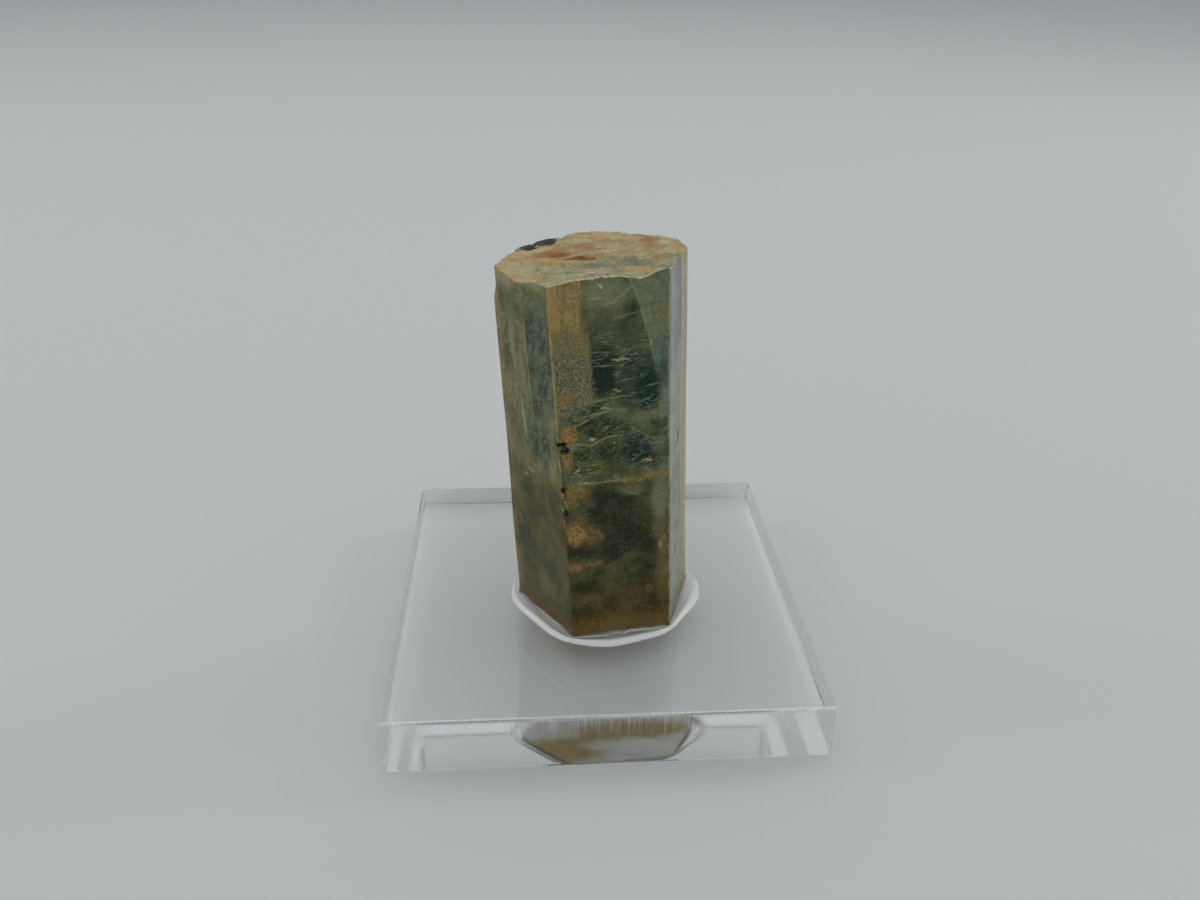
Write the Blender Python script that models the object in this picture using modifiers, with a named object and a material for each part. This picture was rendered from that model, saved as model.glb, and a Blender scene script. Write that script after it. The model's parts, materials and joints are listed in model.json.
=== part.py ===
"""Aquamarine crystal glued upright on a small square of clear acrylic.

Three separate pieces, each its own object:

    aquamarine_crystal   a stubby six-sided beryl prism, one natural solid with its dark grains
    glue_bead            the clear glue under and around the crystal's foot
    acrylic_base         the sawn and polished square of clear sheet that carries them

Blender 4.5, metres, +Z up.  The origin is the middle of the base's underside.
The crystal's widest face looks to -Y.  Angles are in degrees, azimuth is
measured from +X towards +Y.
"""
from collections import namedtuple
from math import atan2, cos, exp, hypot, pi, radians, sin, tau

import bmesh
import bpy
from mathutils import Vector, noise

MM = 0.001

# Acrylic base.
BASE_SIDE = 45.0 * MM
BASE_THICKNESS = 6.3 * MM
BASE_EDGE_BREAK = 0.35 * MM

# What stands on what: touching pieces keep a small gap.
FIT_GAP = 0.25 * MM
GLUE_PAD = 0.2 * MM
GLUE_BOTTOM = BASE_THICKNESS + FIT_GAP
FOOT_LEVEL = GLUE_BOTTOM + GLUE_PAD + FIT_GAP

# Crystal.  Its axis leans a little to the left; the flat faces are given from a point half way up it.
AXIS_POINT = Vector((0.0, 0.0, BASE_THICKNESS + 20.0 * MM))
AXIS_LEAN = Vector((-0.05, 0.02, 1.0)).normalized()
EDGE_WEAR = 0.22 * MM
ROW_HEIGHT = 1.3 * MM
COLUMN_STEP = 7.5

Face = namedtuple("Face", "name azimuth tilt distance")

# tilt is how far the outward normal points above level, distance is from AXIS_POINT.
PRISM_FACES = (
    Face("front", -81.7, 1.13, 9.82 * MM),
    Face("left", -145.8, -2.56, 9.59 * MM),
    Face("right", -18.3, 2.78, 8.96 * MM),
    Face("right_back", 38.0, 2.2, 8.75 * MM),
    Face("back", 98.0, -1.5, 7.60 * MM),
    Face("left_back", 158.0, -2.0, 8.30 * MM),
    Face("narrow_right", 8.0, 2.9, 9.32 * MM),
    Face("narrow_back", 62.0, 0.3, 7.45 * MM),
)

# The natural end: a plateau that climbs to the right, over a lower ledge at the front.
TOP_LEVEL = BASE_THICKNESS + 39.5 * MM
TOP_SLOPE_X = 0.05
TOP_SLOPE_Y = -0.02
TOP_GRID_CELLS = 46
TOP_GRID_SIDE = 25.0 * MM
LEDGE_DROP = 0.26 * MM
LEDGE_STEP_WIDTH = 0.8 * MM
# The ledge's back edge wanders across the top from left to right.
LEDGE_LINE = (
    (-12.0, -0.6), (-9.5, -1.2), (-5.5, -2.5), (-2.5, -3.5), (0.5, -2.3), (4.0, -2.9), (12.0, -2.2),
)
FOOT_GRID_CELLS = 22
FOOT_ROUGHNESS = 0.55 * MM
BLOCK_DEPTH = 8.0 * MM

# Hollow and raised places on the end: x, y, radius, depth (all mm, depth down).
TOP_SPOTS = (
    (-8.3, -6.6, 2.1, 0.50),
    (-10.9, -2.6, 1.5, -0.30),
    (-1.2, -2.1, 1.3, 0.30),
    (-3.6, -0.6, 2.0, 0.14),
    (4.6, 2.9, 2.4, -0.12),
    (7.2, -4.6, 1.9, -0.55),
    (4.9, -8.9, 1.4, -0.25),
    (2.0, -8.2, 1.6, 0.10),
    (1.0, 4.6, 3.0, -0.10),
    (-7.6, 0.2, 1.6, 0.16),
)

# The broken back left corner, with dark mineral grains sitting in it.
CORNER_CHIP = Face("corner_chip", 136.0, 38.0, 0.0)
CORNER_CHIP_RIM = Vector((-5.9 * MM, 4.45 * MM, TOP_LEVEL - 0.35 * MM))
Grain = namedtuple("Grain", "x y z radius stretch")
DARK_GRAINS = (
    Grain(-7.75, 3.05, 44.95, 0.85, 1.15),
    Grain(-6.85, 4.00, 44.85, 0.62, 1.25),
    Grain(-5.75, 5.00, 45.10, 0.95, 1.40),
    Grain(-4.60, 6.20, 44.75, 0.75, 1.20),
)

# Small black-lined pits along the left front edge, and one nick at the right (mm).
Pit = namedtuple("Pit", "x y z radius")
EDGE_PITS = (
    Pit(-4.40, -10.65, 29.8, 0.50),
    Pit(-4.10, -10.65, 29.1, 0.42),
    Pit(-4.15, -10.75, 24.9, 0.40),
    Pit(-3.95, -10.75, 22.1, 0.34),
    Pit(7.95, -4.75, 28.0, 0.34),
    Pit(7.85, -4.90, 27.2, 0.34),
)

# Glue bead: how far it spreads past the foot, and how high it creeps up it.
GLUE_SPREAD = 1.60 * MM
GLUE_CREEP = 1.25 * MM
GLUE_STEPS = 72
GLUE_ROUNDING = 26.0
# Its hollow shoulder: across is 1 at the outer edge, up is in parts of the creep.
GLUE_SHOULDER = (
    (1.0, 0.0), (0.985, 0.10), (0.955, 0.22), (0.915, 0.36), (0.875, 0.56), (0.845, 0.80), (0.82, 1.0),
)

COLLECTION_NAME = "aquamarine_crystal_on_base"
CUTTER_NAME = "cutters"


def outward(face):
    """Unit normal of a natural face."""
    level = cos(radians(face.tilt))
    turn = radians(face.azimuth)
    return Vector((level * cos(turn), level * sin(turn), sin(radians(face.tilt))))


def smooth_step(low, high, value):
    t = min(1.0, max(0.0, (value - low) / (high - low)))
    return t * t * (3.0 - 2.0 * t)


def axis_at(z):
    """Middle of the crystal at height z."""
    return AXIS_POINT + AXIS_LEAN * ((z - AXIS_POINT.z) / AXIS_LEAN.z)


def new_material(name, colour, roughness, metallic=0.0, transmission=0.0, ior=1.5):
    material = bpy.data.materials.new(name)
    material.use_nodes = True
    shader = material.node_tree.nodes["Principled BSDF"]
    shader.inputs["Base Color"].default_value = (*colour, 1.0)
    shader.inputs["Roughness"].default_value = roughness
    shader.inputs["Metallic"].default_value = metallic
    shader.inputs["Transmission Weight"].default_value = transmission
    shader.inputs["IOR"].default_value = ior
    material.diffuse_color = (*colour, 1.0)
    return material


def add_object(name, mesh, collection, material=None):
    piece = bpy.data.objects.new(name, mesh)
    collection.objects.link(piece)
    if material:
        mesh.materials.append(material)
    return piece


def add_cutter(name, bm, collection):
    mesh = bpy.data.meshes.new(name)
    bm.to_mesh(mesh)
    bm.free()
    cutter = add_object(name, mesh, collection)
    cutter.hide_render = True
    cutter.display_type = "WIRE"
    return cutter


def add_boolean(piece, cutter, operation):
    modifier = piece.modifiers.new(cutter.name, "BOOLEAN")
    modifier.object = cutter
    modifier.operation = operation
    modifier.solver = "EXACT"


def keep_inside(bm, plane_point, plane_normal):
    """Cut away what lies outside a plane and close the cut."""
    cut = bmesh.ops.bisect_plane(
        bm, geom=bm.verts[:] + bm.edges[:] + bm.faces[:], dist=1e-7,
        plane_co=plane_point, plane_no=plane_normal, clear_outer=True)
    rim = [item for item in cut["geom_cut"] if isinstance(item, bmesh.types.BMEdge)]
    if rim:
        bmesh.ops.edgeloop_fill(bm, edges=rim)


def score(bm, plane_point, plane_normal):
    """Split the faces along a plane without removing anything."""
    bmesh.ops.bisect_plane(
        bm, geom=bm.verts[:] + bm.edges[:] + bm.faces[:], dist=1e-7,
        plane_co=plane_point, plane_no=plane_normal)


def prism(bottom, top, grow=0.0):
    """The eight-faced prism between two level planes, its faces moved out by grow."""
    bm = bmesh.new()
    bmesh.ops.create_cube(bm, size=60.0 * MM)
    bmesh.ops.translate(bm, verts=bm.verts, vec=AXIS_POINT)
    for face in PRISM_FACES:
        normal = outward(face)
        keep_inside(bm, AXIS_POINT + normal * (face.distance + grow), normal)
    keep_inside(bm, Vector((0.0, 0.0, top)), Vector((0.0, 0.0, 1.0)))
    keep_inside(bm, Vector((0.0, 0.0, bottom)), Vector((0.0, 0.0, -1.0)))
    return bm


def growth_relief(point):
    """How far a side face stands out at a point: lengthwise growth ridges and slow swells."""
    centre = axis_at(point.z)
    azimuth = atan2(point.y - centre.y, point.x - centre.x)
    around = azimuth * 9.0
    up = point.z / MM
    ridges = 0.085 * noise.noise(Vector((around * 0.8, 3.7, up * 0.035)))
    swell = 0.11 * noise.noise(Vector((around * 0.22, 9.1, up * 0.09)))
    # A long low edge divides the left face and fades out half way down.
    from_edge = degrees_between(azimuth, radians(-140.0)) * 0.16
    low_edge = 0.20 * max(0.0, 1.0 - abs(from_edge) / 3.6) * smooth_step(29.0, 40.0, up)
    # Close below the end the left edge is set back by a small step.
    near_left = max(0.0, 1.0 - abs(degrees_between(azimuth, radians(-165.0))) / 16.0)
    set_back = -0.32 * near_left * smooth_step(42.3, 42.9, up)
    return (ridges + swell + low_edge + set_back) * MM


def degrees_between(first, second):
    """Signed turn from second to first, in degrees."""
    turn = (first - second + pi) % tau - pi
    return turn * 180.0 / pi


def crystal_body():
    """The prism with worn edges, scored into rows and columns and given its relief."""
    margin = 3.0 * MM
    bm = prism(FOOT_LEVEL - margin, TOP_LEVEL + margin)
    long_edges = [edge for edge in bm.edges
                  if abs((edge.verts[0].co - edge.verts[1].co).z) > 20.0 * MM]
    bmesh.ops.bevel(bm, geom=long_edges, offset=EDGE_WEAR, segments=2, profile=0.6, affect="EDGES")
    rows = int((TOP_LEVEL - FOOT_LEVEL + margin) / ROW_HEIGHT)
    for row in range(rows + 1):
        score(bm, Vector((0.0, 0.0, FOOT_LEVEL + row * ROW_HEIGHT)), Vector((0.0, 0.0, 1.0)))
    for column in range(int(180.0 / COLUMN_STEP)):
        turn = radians(column * COLUMN_STEP)
        side = Vector((-sin(turn), cos(turn), 0.0))
        score(bm, AXIS_POINT, side - AXIS_LEAN * side.dot(AXIS_LEAN))
    bm.normal_update()
    shifts = [(vertex, vertex.normal * growth_relief(vertex.co)) for vertex in bm.verts]
    for vertex, shift in shifts:
        vertex.co += shift
    bmesh.ops.triangulate(bm, faces=bm.faces)
    mesh = bpy.data.meshes.new("aquamarine_crystal")
    bm.to_mesh(mesh)
    bm.free()
    return mesh


def ledge_line_y(x):
    """Where the ledge's back edge runs, in mm, at x in mm."""
    for (x0, y0), (x1, y1) in zip(LEDGE_LINE, LEDGE_LINE[1:]):
        if x <= x1:
            return y0 + (y1 - y0) * smooth_step(x0, x1, x)
    return LEDGE_LINE[-1][1]


def top_height(x, y):
    """Height of the natural end above any point inside the prism."""
    height = TOP_LEVEL + TOP_SLOPE_X * x + TOP_SLOPE_Y * y
    mm_x, mm_y = x / MM, y / MM
    edge = ledge_line_y(mm_x) + 0.35 * noise.noise(Vector((mm_x * 0.9, 5.0, 0.0)))
    step = LEDGE_STEP_WIDTH / MM
    below = 1.0 - smooth_step(edge - step, edge, mm_y)
    rises_again = smooth_step(edge - 6.5, edge - 2.5, mm_y)
    height -= LEDGE_DROP * below * (0.35 + 0.65 * rises_again)
    for spot_x, spot_y, radius, depth in TOP_SPOTS:
        away = hypot(mm_x - spot_x, mm_y - spot_y) / radius
        height -= depth * MM * exp(-away * away * 1.4)
    rough = noise.noise(Vector((mm_x * 0.45, mm_y * 0.45, 1.0))) * 0.13
    rough += noise.noise(Vector((mm_x * 1.3, mm_y * 1.3, 4.0))) * 0.07
    return height + rough * MM


def foot_height(x, y):
    """Height of the broken foot: never lower than FOOT_LEVEL."""
    mm_x, mm_y = x / MM, y / MM
    rough = 0.5 + 0.5 * noise.noise(Vector((mm_x * 0.23, mm_y * 0.23, 7.0)))
    rough += 0.25 * noise.noise(Vector((mm_x * 0.7, mm_y * 0.7, 2.0)))
    return FOOT_LEVEL + FOOT_ROUGHNESS * max(0.0, rough)


def relief_block(cells, height_at, far_level):
    """A square block with one face that follows height_at and the other flat at far_level."""
    bm = bmesh.new()
    bmesh.ops.create_grid(bm, x_segments=cells, y_segments=cells, size=TOP_GRID_SIDE / 2.0)
    bulk = bmesh.ops.extrude_face_region(bm, geom=bm.faces[:])
    far_side = {item for item in bulk["geom"] if isinstance(item, bmesh.types.BMVert)}
    for vertex in bm.verts:
        vertex.co.z = far_level if vertex in far_side else height_at(vertex.co.x, vertex.co.y)
    bmesh.ops.recalc_face_normals(bm, faces=bm.faces)
    bmesh.ops.triangulate(bm, faces=bm.faces)
    return bm


def chip_block():
    """A block that lies outside the slanted break at the back left corner."""
    bm = bmesh.new()
    bmesh.ops.create_cube(bm, size=16.0 * MM)
    bmesh.ops.subdivide_edges(bm, edges=bm.edges, cuts=11, use_grid_fill=True)
    normal = outward(CORNER_CHIP)
    turn = normal.to_track_quat("Z", "X").to_matrix().to_4x4()
    bmesh.ops.transform(bm, matrix=turn, verts=bm.verts)
    bmesh.ops.translate(bm, verts=bm.verts, vec=CORNER_CHIP_RIM + normal * 8.0 * MM)
    for vertex in bm.verts:
        inner = (vertex.co - CORNER_CHIP_RIM).dot(normal) < 0.5 * MM
        if inner:
            vertex.co += normal * (0.45 * MM * noise.noise(vertex.co / (2.6 * MM)))
    bmesh.ops.triangulate(bm, faces=bm.faces)
    return bm


def grain_lump(grain, index):
    """One dark mineral grain, a knobbly lump drawn out along the rim."""
    bm = bmesh.new()
    bmesh.ops.create_icosphere(bm, subdivisions=2, radius=grain.radius * MM)
    along = Vector((cos(radians(46.0)), sin(radians(46.0)), 0.0))
    place = Vector((grain.x, grain.y, grain.z)) * MM
    for vertex in bm.verts:
        lump = 1.0 + 0.28 * noise.noise(vertex.co / (0.6 * MM) + Vector((index * 3.1, 0.0, 0.0)))
        vertex.co *= lump
        vertex.co += along * vertex.co.dot(along) * (grain.stretch - 1.0)
        vertex.co += place
    return bm


def pit_ball(pit):
    bm = bmesh.new()
    bmesh.ops.create_icosphere(bm, subdivisions=1, radius=pit.radius * MM)
    bmesh.ops.translate(bm, verts=bm.verts, vec=Vector((pit.x, pit.y, pit.z)) * MM)
    return bm


def build_crystal(parts, cutters):
    material = new_material("beryl", (0.095, 0.115, 0.070), 0.32)
    crystal = add_object("aquamarine_crystal", crystal_body(), parts, material)
    above = relief_block(TOP_GRID_CELLS, top_height, TOP_LEVEL + BLOCK_DEPTH)
    add_boolean(crystal, add_cutter("natural_end", above, cutters), "DIFFERENCE")
    below = relief_block(FOOT_GRID_CELLS, foot_height, FOOT_LEVEL - BLOCK_DEPTH)
    add_boolean(crystal, add_cutter("broken_foot", below, cutters), "DIFFERENCE")
    add_boolean(crystal, add_cutter("corner_break", chip_block(), cutters), "DIFFERENCE")
    for index, pit in enumerate(EDGE_PITS):
        add_boolean(crystal, add_cutter(f"edge_pit_{index + 1}", pit_ball(pit), cutters), "DIFFERENCE")
    for index, grain in enumerate(DARK_GRAINS):
        lump = grain_lump(grain, index)
        add_boolean(crystal, add_cutter(f"dark_grain_{index + 1}", lump, cutters), "UNION")


def foot_radius(azimuth):
    """Distance from the foot's middle to the prism's side at an azimuth."""
    centre = axis_at(FOOT_LEVEL)
    ray = Vector((cos(azimuth), sin(azimuth), 0.0))
    reach = []
    for face in PRISM_FACES:
        normal = outward(face)
        facing = normal.dot(ray)
        if facing > 0.05:
            plane_point = AXIS_POINT + normal * face.distance
            reach.append((plane_point - centre).dot(normal) / facing)
    return min(reach)


def bead_radius(azimuth):
    """Outer radius of the glue: the foot's outline, rounded off, plus the spread."""
    offsets = [GLUE_ROUNDING * part / 3.0 for part in range(-3, 4)]
    rounded = sum(foot_radius(azimuth + radians(offset)) for offset in offsets) / len(offsets)
    return rounded + GLUE_SPREAD * (1.0 + 0.14 * sin(2.0 * azimuth + 0.6))


def turned_profile(outline):
    """A mesh turned about Z from points (across, up), its two ends on the axis."""
    bm = bmesh.new()
    points = [bm.verts.new((across, 0.0, up)) for across, up in outline]
    for first, second in zip(points, points[1:]):
        bm.edges.new((first, second))
    mesh = bpy.data.meshes.new("glue_profile")
    bm.to_mesh(mesh)
    bm.free()
    holder = bpy.data.objects.new("glue_profile", mesh)
    bpy.context.scene.collection.objects.link(holder)
    turn = holder.modifiers.new("turn", "SCREW")
    turn.steps = turn.render_steps = GLUE_STEPS
    turn.use_merge_vertices = True
    turn.merge_threshold = 0.0001
    graph = bpy.context.evaluated_depsgraph_get()
    turned = bpy.data.meshes.new_from_object(holder.evaluated_get(graph))
    bpy.data.objects.remove(holder, do_unlink=True)
    return turned


def build_glue(parts, cutters):
    """A turned bead with a hollow-curved shoulder, drawn out to the foot's own outline."""
    bead_mesh = turned_profile([(0.0, 1.0), *GLUE_SHOULDER[::-1], (0.0, 0.0)])
    bead_mesh.name = "glue_bead"
    centre = axis_at(FOOT_LEVEL)
    for vertex in bead_mesh.vertices:
        azimuth = atan2(vertex.co.y, vertex.co.x)
        radius = bead_radius(azimuth) * hypot(vertex.co.x, vertex.co.y)
        creep = GLUE_PAD + GLUE_CREEP * (1.0 + 0.18 * sin(azimuth * 3.0 + 1.1))
        vertex.co = (centre.x + radius * cos(azimuth), centre.y + radius * sin(azimuth),
                     GLUE_BOTTOM + vertex.co.z * creep)
    material = new_material("clear_glue", (0.93, 0.94, 0.93), 0.06, transmission=1.0, ior=1.48)
    bead = add_object("glue_bead", bead_mesh, parts, material)
    seat = prism(GLUE_BOTTOM + GLUE_PAD, FOOT_LEVEL + BLOCK_DEPTH, grow=FIT_GAP)
    add_boolean(bead, add_cutter("crystal_seat", seat, cutters), "DIFFERENCE")


def build_base(parts):
    material = new_material("clear_acrylic", (0.95, 0.96, 0.96), 0.03, transmission=1.0, ior=1.49)
    bm = bmesh.new()
    bmesh.ops.create_cube(bm, size=1.0)
    bmesh.ops.scale(bm, vec=(BASE_SIDE, BASE_SIDE, BASE_THICKNESS), verts=bm.verts)
    bmesh.ops.translate(bm, vec=(0.0, 0.0, BASE_THICKNESS / 2.0), verts=bm.verts)
    mesh = bpy.data.meshes.new("acrylic_base")
    bm.to_mesh(mesh)
    bm.free()
    base = add_object("acrylic_base", mesh, parts, material)
    edges = base.modifiers.new("edge_break", "BEVEL")
    edges.width = BASE_EDGE_BREAK
    edges.segments = 3
    edges.limit_method = "ANGLE"


def clear_scene():
    for thing in list(bpy.data.objects):
        bpy.data.objects.remove(thing, do_unlink=True)


def new_collection(name):
    collection = bpy.data.collections.new(name)
    bpy.context.scene.collection.children.link(collection)
    return collection


def main():
    clear_scene()
    parts = new_collection(COLLECTION_NAME)
    cutters = new_collection(CUTTER_NAME)
    build_base(parts)
    build_glue(parts, cutters)
    build_crystal(parts, cutters)


main()
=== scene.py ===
# %% [markdown]
# # An aquamarine crystal on its clear base
#
# The specimen is a stubby six-sided beryl prism, glued upright on a square of
# clear acrylic. The solids are already built at their real size; this lesson
# gives them their surfaces. It goes from the camera and the light to the clear
# sheet, the glue, and last the stone, which takes most of the work.

import json
from math import atan2, cos, degrees, hypot, pi, radians, sin

import bmesh
import bpy
from mathutils import Matrix, Vector, noise

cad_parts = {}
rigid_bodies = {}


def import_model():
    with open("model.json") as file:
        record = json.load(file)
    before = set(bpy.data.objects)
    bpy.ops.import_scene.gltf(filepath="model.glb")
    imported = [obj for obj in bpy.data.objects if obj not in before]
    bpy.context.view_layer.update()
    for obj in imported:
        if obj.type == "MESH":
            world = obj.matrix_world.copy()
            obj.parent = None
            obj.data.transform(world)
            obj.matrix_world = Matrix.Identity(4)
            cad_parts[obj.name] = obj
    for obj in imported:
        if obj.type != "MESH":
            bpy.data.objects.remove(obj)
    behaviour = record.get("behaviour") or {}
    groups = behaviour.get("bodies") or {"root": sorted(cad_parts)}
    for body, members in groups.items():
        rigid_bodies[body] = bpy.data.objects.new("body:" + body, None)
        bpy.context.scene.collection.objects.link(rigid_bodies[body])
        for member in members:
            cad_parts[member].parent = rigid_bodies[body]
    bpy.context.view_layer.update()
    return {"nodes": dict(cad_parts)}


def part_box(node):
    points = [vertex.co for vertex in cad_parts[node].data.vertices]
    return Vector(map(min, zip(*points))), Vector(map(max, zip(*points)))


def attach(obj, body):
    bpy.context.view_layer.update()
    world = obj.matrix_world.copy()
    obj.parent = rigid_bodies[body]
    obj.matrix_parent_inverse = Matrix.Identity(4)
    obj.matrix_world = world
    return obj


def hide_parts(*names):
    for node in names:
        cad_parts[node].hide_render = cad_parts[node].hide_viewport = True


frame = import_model()
MM = 0.001
base_low, base_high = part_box("acrylic_base")
glue_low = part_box("glue_bead")[0]
stone_low, stone_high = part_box("aquamarine_crystal")

# %% [markdown]
# ## The camera
#
# A wide lens held close and above makes the base larger at the front than at
# the back, and lets the stone taper towards its foot. A camera object takes the
# three directions of its frame as the columns of its matrix, which is steadier
# than turning it by angles when it is also rolled a little.

# %% Camera
LENS_MM, SENSOR_MM = 28.97, 36.0
NEAREST_SEEN = 2.0 * MM
CAMERA_PLACE = Vector((-6.61, -92.89, 72.95)) * MM
CAMERA_RIGHT = Vector((0.99780, -0.06494, 0.01332))
CAMERA_UP = Vector((0.01862, 0.46744, 0.88383))


def add_camera():
    back = CAMERA_RIGHT.cross(CAMERA_UP).normalized()
    turn = Matrix((CAMERA_RIGHT, CAMERA_UP, back)).transposed().to_4x4()
    bpy.ops.object.camera_add()
    camera = bpy.context.object
    camera.data.lens = LENS_MM
    camera.data.sensor_width = SENSOR_MM
    camera.data.clip_start = NEAREST_SEEN
    camera.matrix_world = Matrix.Translation(CAMERA_PLACE) @ turn
    bpy.context.scene.camera = camera
    print("camera looks down by", round(degrees(atan2(back.z, -back.y)), 1), "degrees")


add_camera()
bpy.context.scene.view_settings.view_transform = "Standard"

# %% [markdown]
# ## Shader sums written as Python
#
# A finish is a long chain of nodes. Wiring each one by hand hides the idea, so
# a small class wraps a socket and turns `+ - *` into Math or Vector Math nodes.
# Every other node comes from one method, which sets the node's own settings
# first and its sockets after. A tone is given as the eye knows it, in sRGB.

# %% A socket that can be added and multiplied
class Wire:
    def __init__(self, paint, socket):
        self.paint = paint
        self.socket = socket

    def combine(self, operation, first, second):
        vectors = any(isinstance(side, Wire) and side.socket.type == "VECTOR" for side in (first, second))
        kind = "ShaderNodeVectorMath" if vectors else "ShaderNodeMath"
        return self.paint.node(kind, {"operation": operation}, {0: first, 1: second})

    def __add__(self, other):
        return self.combine("ADD", self, other)

    def __radd__(self, other):
        return self.combine("ADD", other, self)

    def __sub__(self, other):
        return self.combine("SUBTRACT", self, other)

    def __rsub__(self, other):
        return self.combine("SUBTRACT", other, self)

    def __mul__(self, other):
        return self.combine("MULTIPLY", self, other)

    def __rmul__(self, other):
        return self.combine("MULTIPLY", other, self)

    def __abs__(self):
        return self.paint.node("ShaderNodeMath", {"operation": "ABSOLUTE"}, {0: self})

    def most(self, other):
        return self.combine("MAXIMUM", self, other)

    def soft(self, low, high):
        """0 below low, 1 above high, and a smooth climb between (falls where low > high)."""
        return self.paint.node("ShaderNodeMapRange", {"interpolation_type": "SMOOTHSTEP"},
                               {"Value": self, "From Min": low, "From Max": high})

    def line(self, width):
        """1 where the value is nought, falling to 0 at width on either side."""
        return 1.0 - abs(self).soft(0.0, width)


class Paint:
    """A material being put together."""

    def __init__(self, name):
        self.material = bpy.data.materials.new(name)
        self.material.use_nodes = True
        self.tree = self.material.node_tree
        self.shader = self.tree.nodes["Principled BSDF"]

    def make(self, kind, settings, sockets):
        made = self.tree.nodes.new(kind)
        for name, value in settings.items():
            setattr(made, name, value)
        self.fill(made, sockets)
        return made

    def node(self, kind, settings=None, sockets=None, output=0):
        """One output of a new node."""
        return Wire(self, self.make(kind, settings or {}, sockets or {}).outputs[output])

    def split(self, kind, whole):
        """A vector or a colour taken apart into its three numbers."""
        return [Wire(self, output) for output in self.make(kind, {}, {0: whole}).outputs]

    def fill(self, made, sockets):
        for name, value in sockets.items():
            socket = made.inputs[name]
            if isinstance(value, Wire):
                self.tree.links.new(value.socket, socket)
            elif socket.type == "RGBA":
                socket.default_value = (*value, 1.0)
            else:
                socket.default_value = value

    def finish(self, sockets, veil=None, veil_sockets=None):
        """Fill the surface shader; a veil mask lays a second, plainer surface over it."""
        self.fill(self.shader, sockets)
        if veil is not None:
            under = Wire(self, self.shader.outputs[0])
            over = self.node("ShaderNodeBsdfPrincipled", {}, veil_sockets)
            both = self.node("ShaderNodeMixShader", {}, {0: veil, 1: under, 2: over})
            self.fill(self.tree.nodes["Material Output"], {"Surface": both})
        return self.material

    def place(self):
        """Where a point lies, in mm, measured up from the top of the clear base."""
        local = self.node("ShaderNodeTexCoord", output="Object")
        grown = self.node("ShaderNodeVectorMath", {"operation": "SCALE"}, {0: local, "Scale": 1.0 / MM})
        return grown - (0.0, 0.0, base_high.z / MM)

    def parts(self, vector):
        return self.split("ShaderNodeSeparateXYZ", vector)

    def joined(self, x, y, z):
        return self.node("ShaderNodeCombineXYZ", {}, {0: x, 1: y, 2: z})

    def celled(self, vector, size, turn=(0.0, 0.0, 0.0)):
        """The same places counted in cells of a given size in mm, along axes turned by radians."""
        return self.node("ShaderNodeMapping", {"vector_type": "TEXTURE"},
                         {"Vector": vector, "Rotation": turn, "Scale": size})

    def grain(self, vector, scale, detail=3.0, roughness=0.55, warp=0.0, output="Fac"):
        return self.node("ShaderNodeTexNoise", {"noise_dimensions": "3D"},
                         {"Vector": vector, "Scale": scale, "Detail": detail, "Roughness": roughness,
                          "Distortion": warp}, output)

    def shaken(self, vector, scale, reach, detail=2.0):
        """The same places, pushed about by up to reach mm, so that edges wander."""
        push = self.split("ShaderNodeSeparateColor", self.grain(vector, scale, detail, output="Color"))
        return vector + self.joined(*[(side - 0.5) * (2.0 * reach) for side in push])

    def blotch(self, vector, centre, size, edge=0.45):
        """1 in a soft-edged ellipsoid."""
        grow = tuple(1.0 / side for side in size)
        shift = tuple(-place / side for place, side in zip(centre, size))
        spot = self.node("ShaderNodeVectorMath", {"operation": "MULTIPLY_ADD"},
                         {0: vector, 1: grow, 2: shift})
        away = self.node("ShaderNodeVectorMath", {"operation": "LENGTH"}, {0: spot}, "Value")
        return away.soft(1.0 + edge, 1.0 - edge)

    def most_of(self, vector, spots, edge=0.45):
        """The strongest of several blotches, each a centre, a size and a strength."""
        found = None
        for centre, size, strength in spots:
            one = self.blotch(vector, centre, size, edge)
            one = one if strength == 1.0 else one * strength
            found = one if found is None else found.most(one)
        return found

    def blend(self, mask, first, second):
        """Two colours blended by a mask; the Mix node keeps its colour sockets at 6, 7 and out at 2."""
        return self.node("ShaderNodeMix", {"data_type": "RGBA"}, {0: mask, 6: first, 7: second}, 2)

    def mixed(self, mask, first, second):
        """A plain number blended by a mask."""
        return first + mask * (second - first)

    def shade(self, colour, amount):
        """The same colour, lighter or darker."""
        return self.node("ShaderNodeHueSaturation", {}, {"Value": amount, "Color": colour})

    def bump(self, height, strength, distance):
        return self.node("ShaderNodeBump", {},
                         {"Height": height, "Strength": strength, "Distance": distance})


def tone(red, green, blue):
    """An sRGB colour, 0 to 255, as the linear colour that the sockets take."""
    def linear(value):
        value /= 255.0
        return value / 12.92 if value <= 0.04045 else ((value + 0.055) / 1.055) ** 2.4
    return tuple(linear(value) for value in (red, green, blue))


print("a mid grey of 128 is", round(tone(128, 128, 128)[0], 3), "in linear light")

# %% [markdown]
# ## The table and the light
#
# The specimen stands in a white light tent: pale paper below, and soft light
# from nearly everywhere, a little stronger from above. One wide sheet makes the
# table. A sky of even pale light gives the tent. Five soft area lamps shape it:
# two small ones give the flanks something to mirror, and two of the large ones
# are let through the clear base and glue. A renderer has no quick way to bend
# lamp light through clear plastic onto the table, so without them the table
# under the base would stay too dark. Only the stone casts a shadow in those.

# %% Table, sky and lamps
TABLE_SIDE = 12.0
TABLE_DROP = 0.02 * MM
TABLE_COLOUR = tone(208, 210, 210)
SKY_COLOUR = (0.430, 0.440, 0.455)
LAMP_COLOUR = (0.97, 1.0, 0.98)
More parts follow.
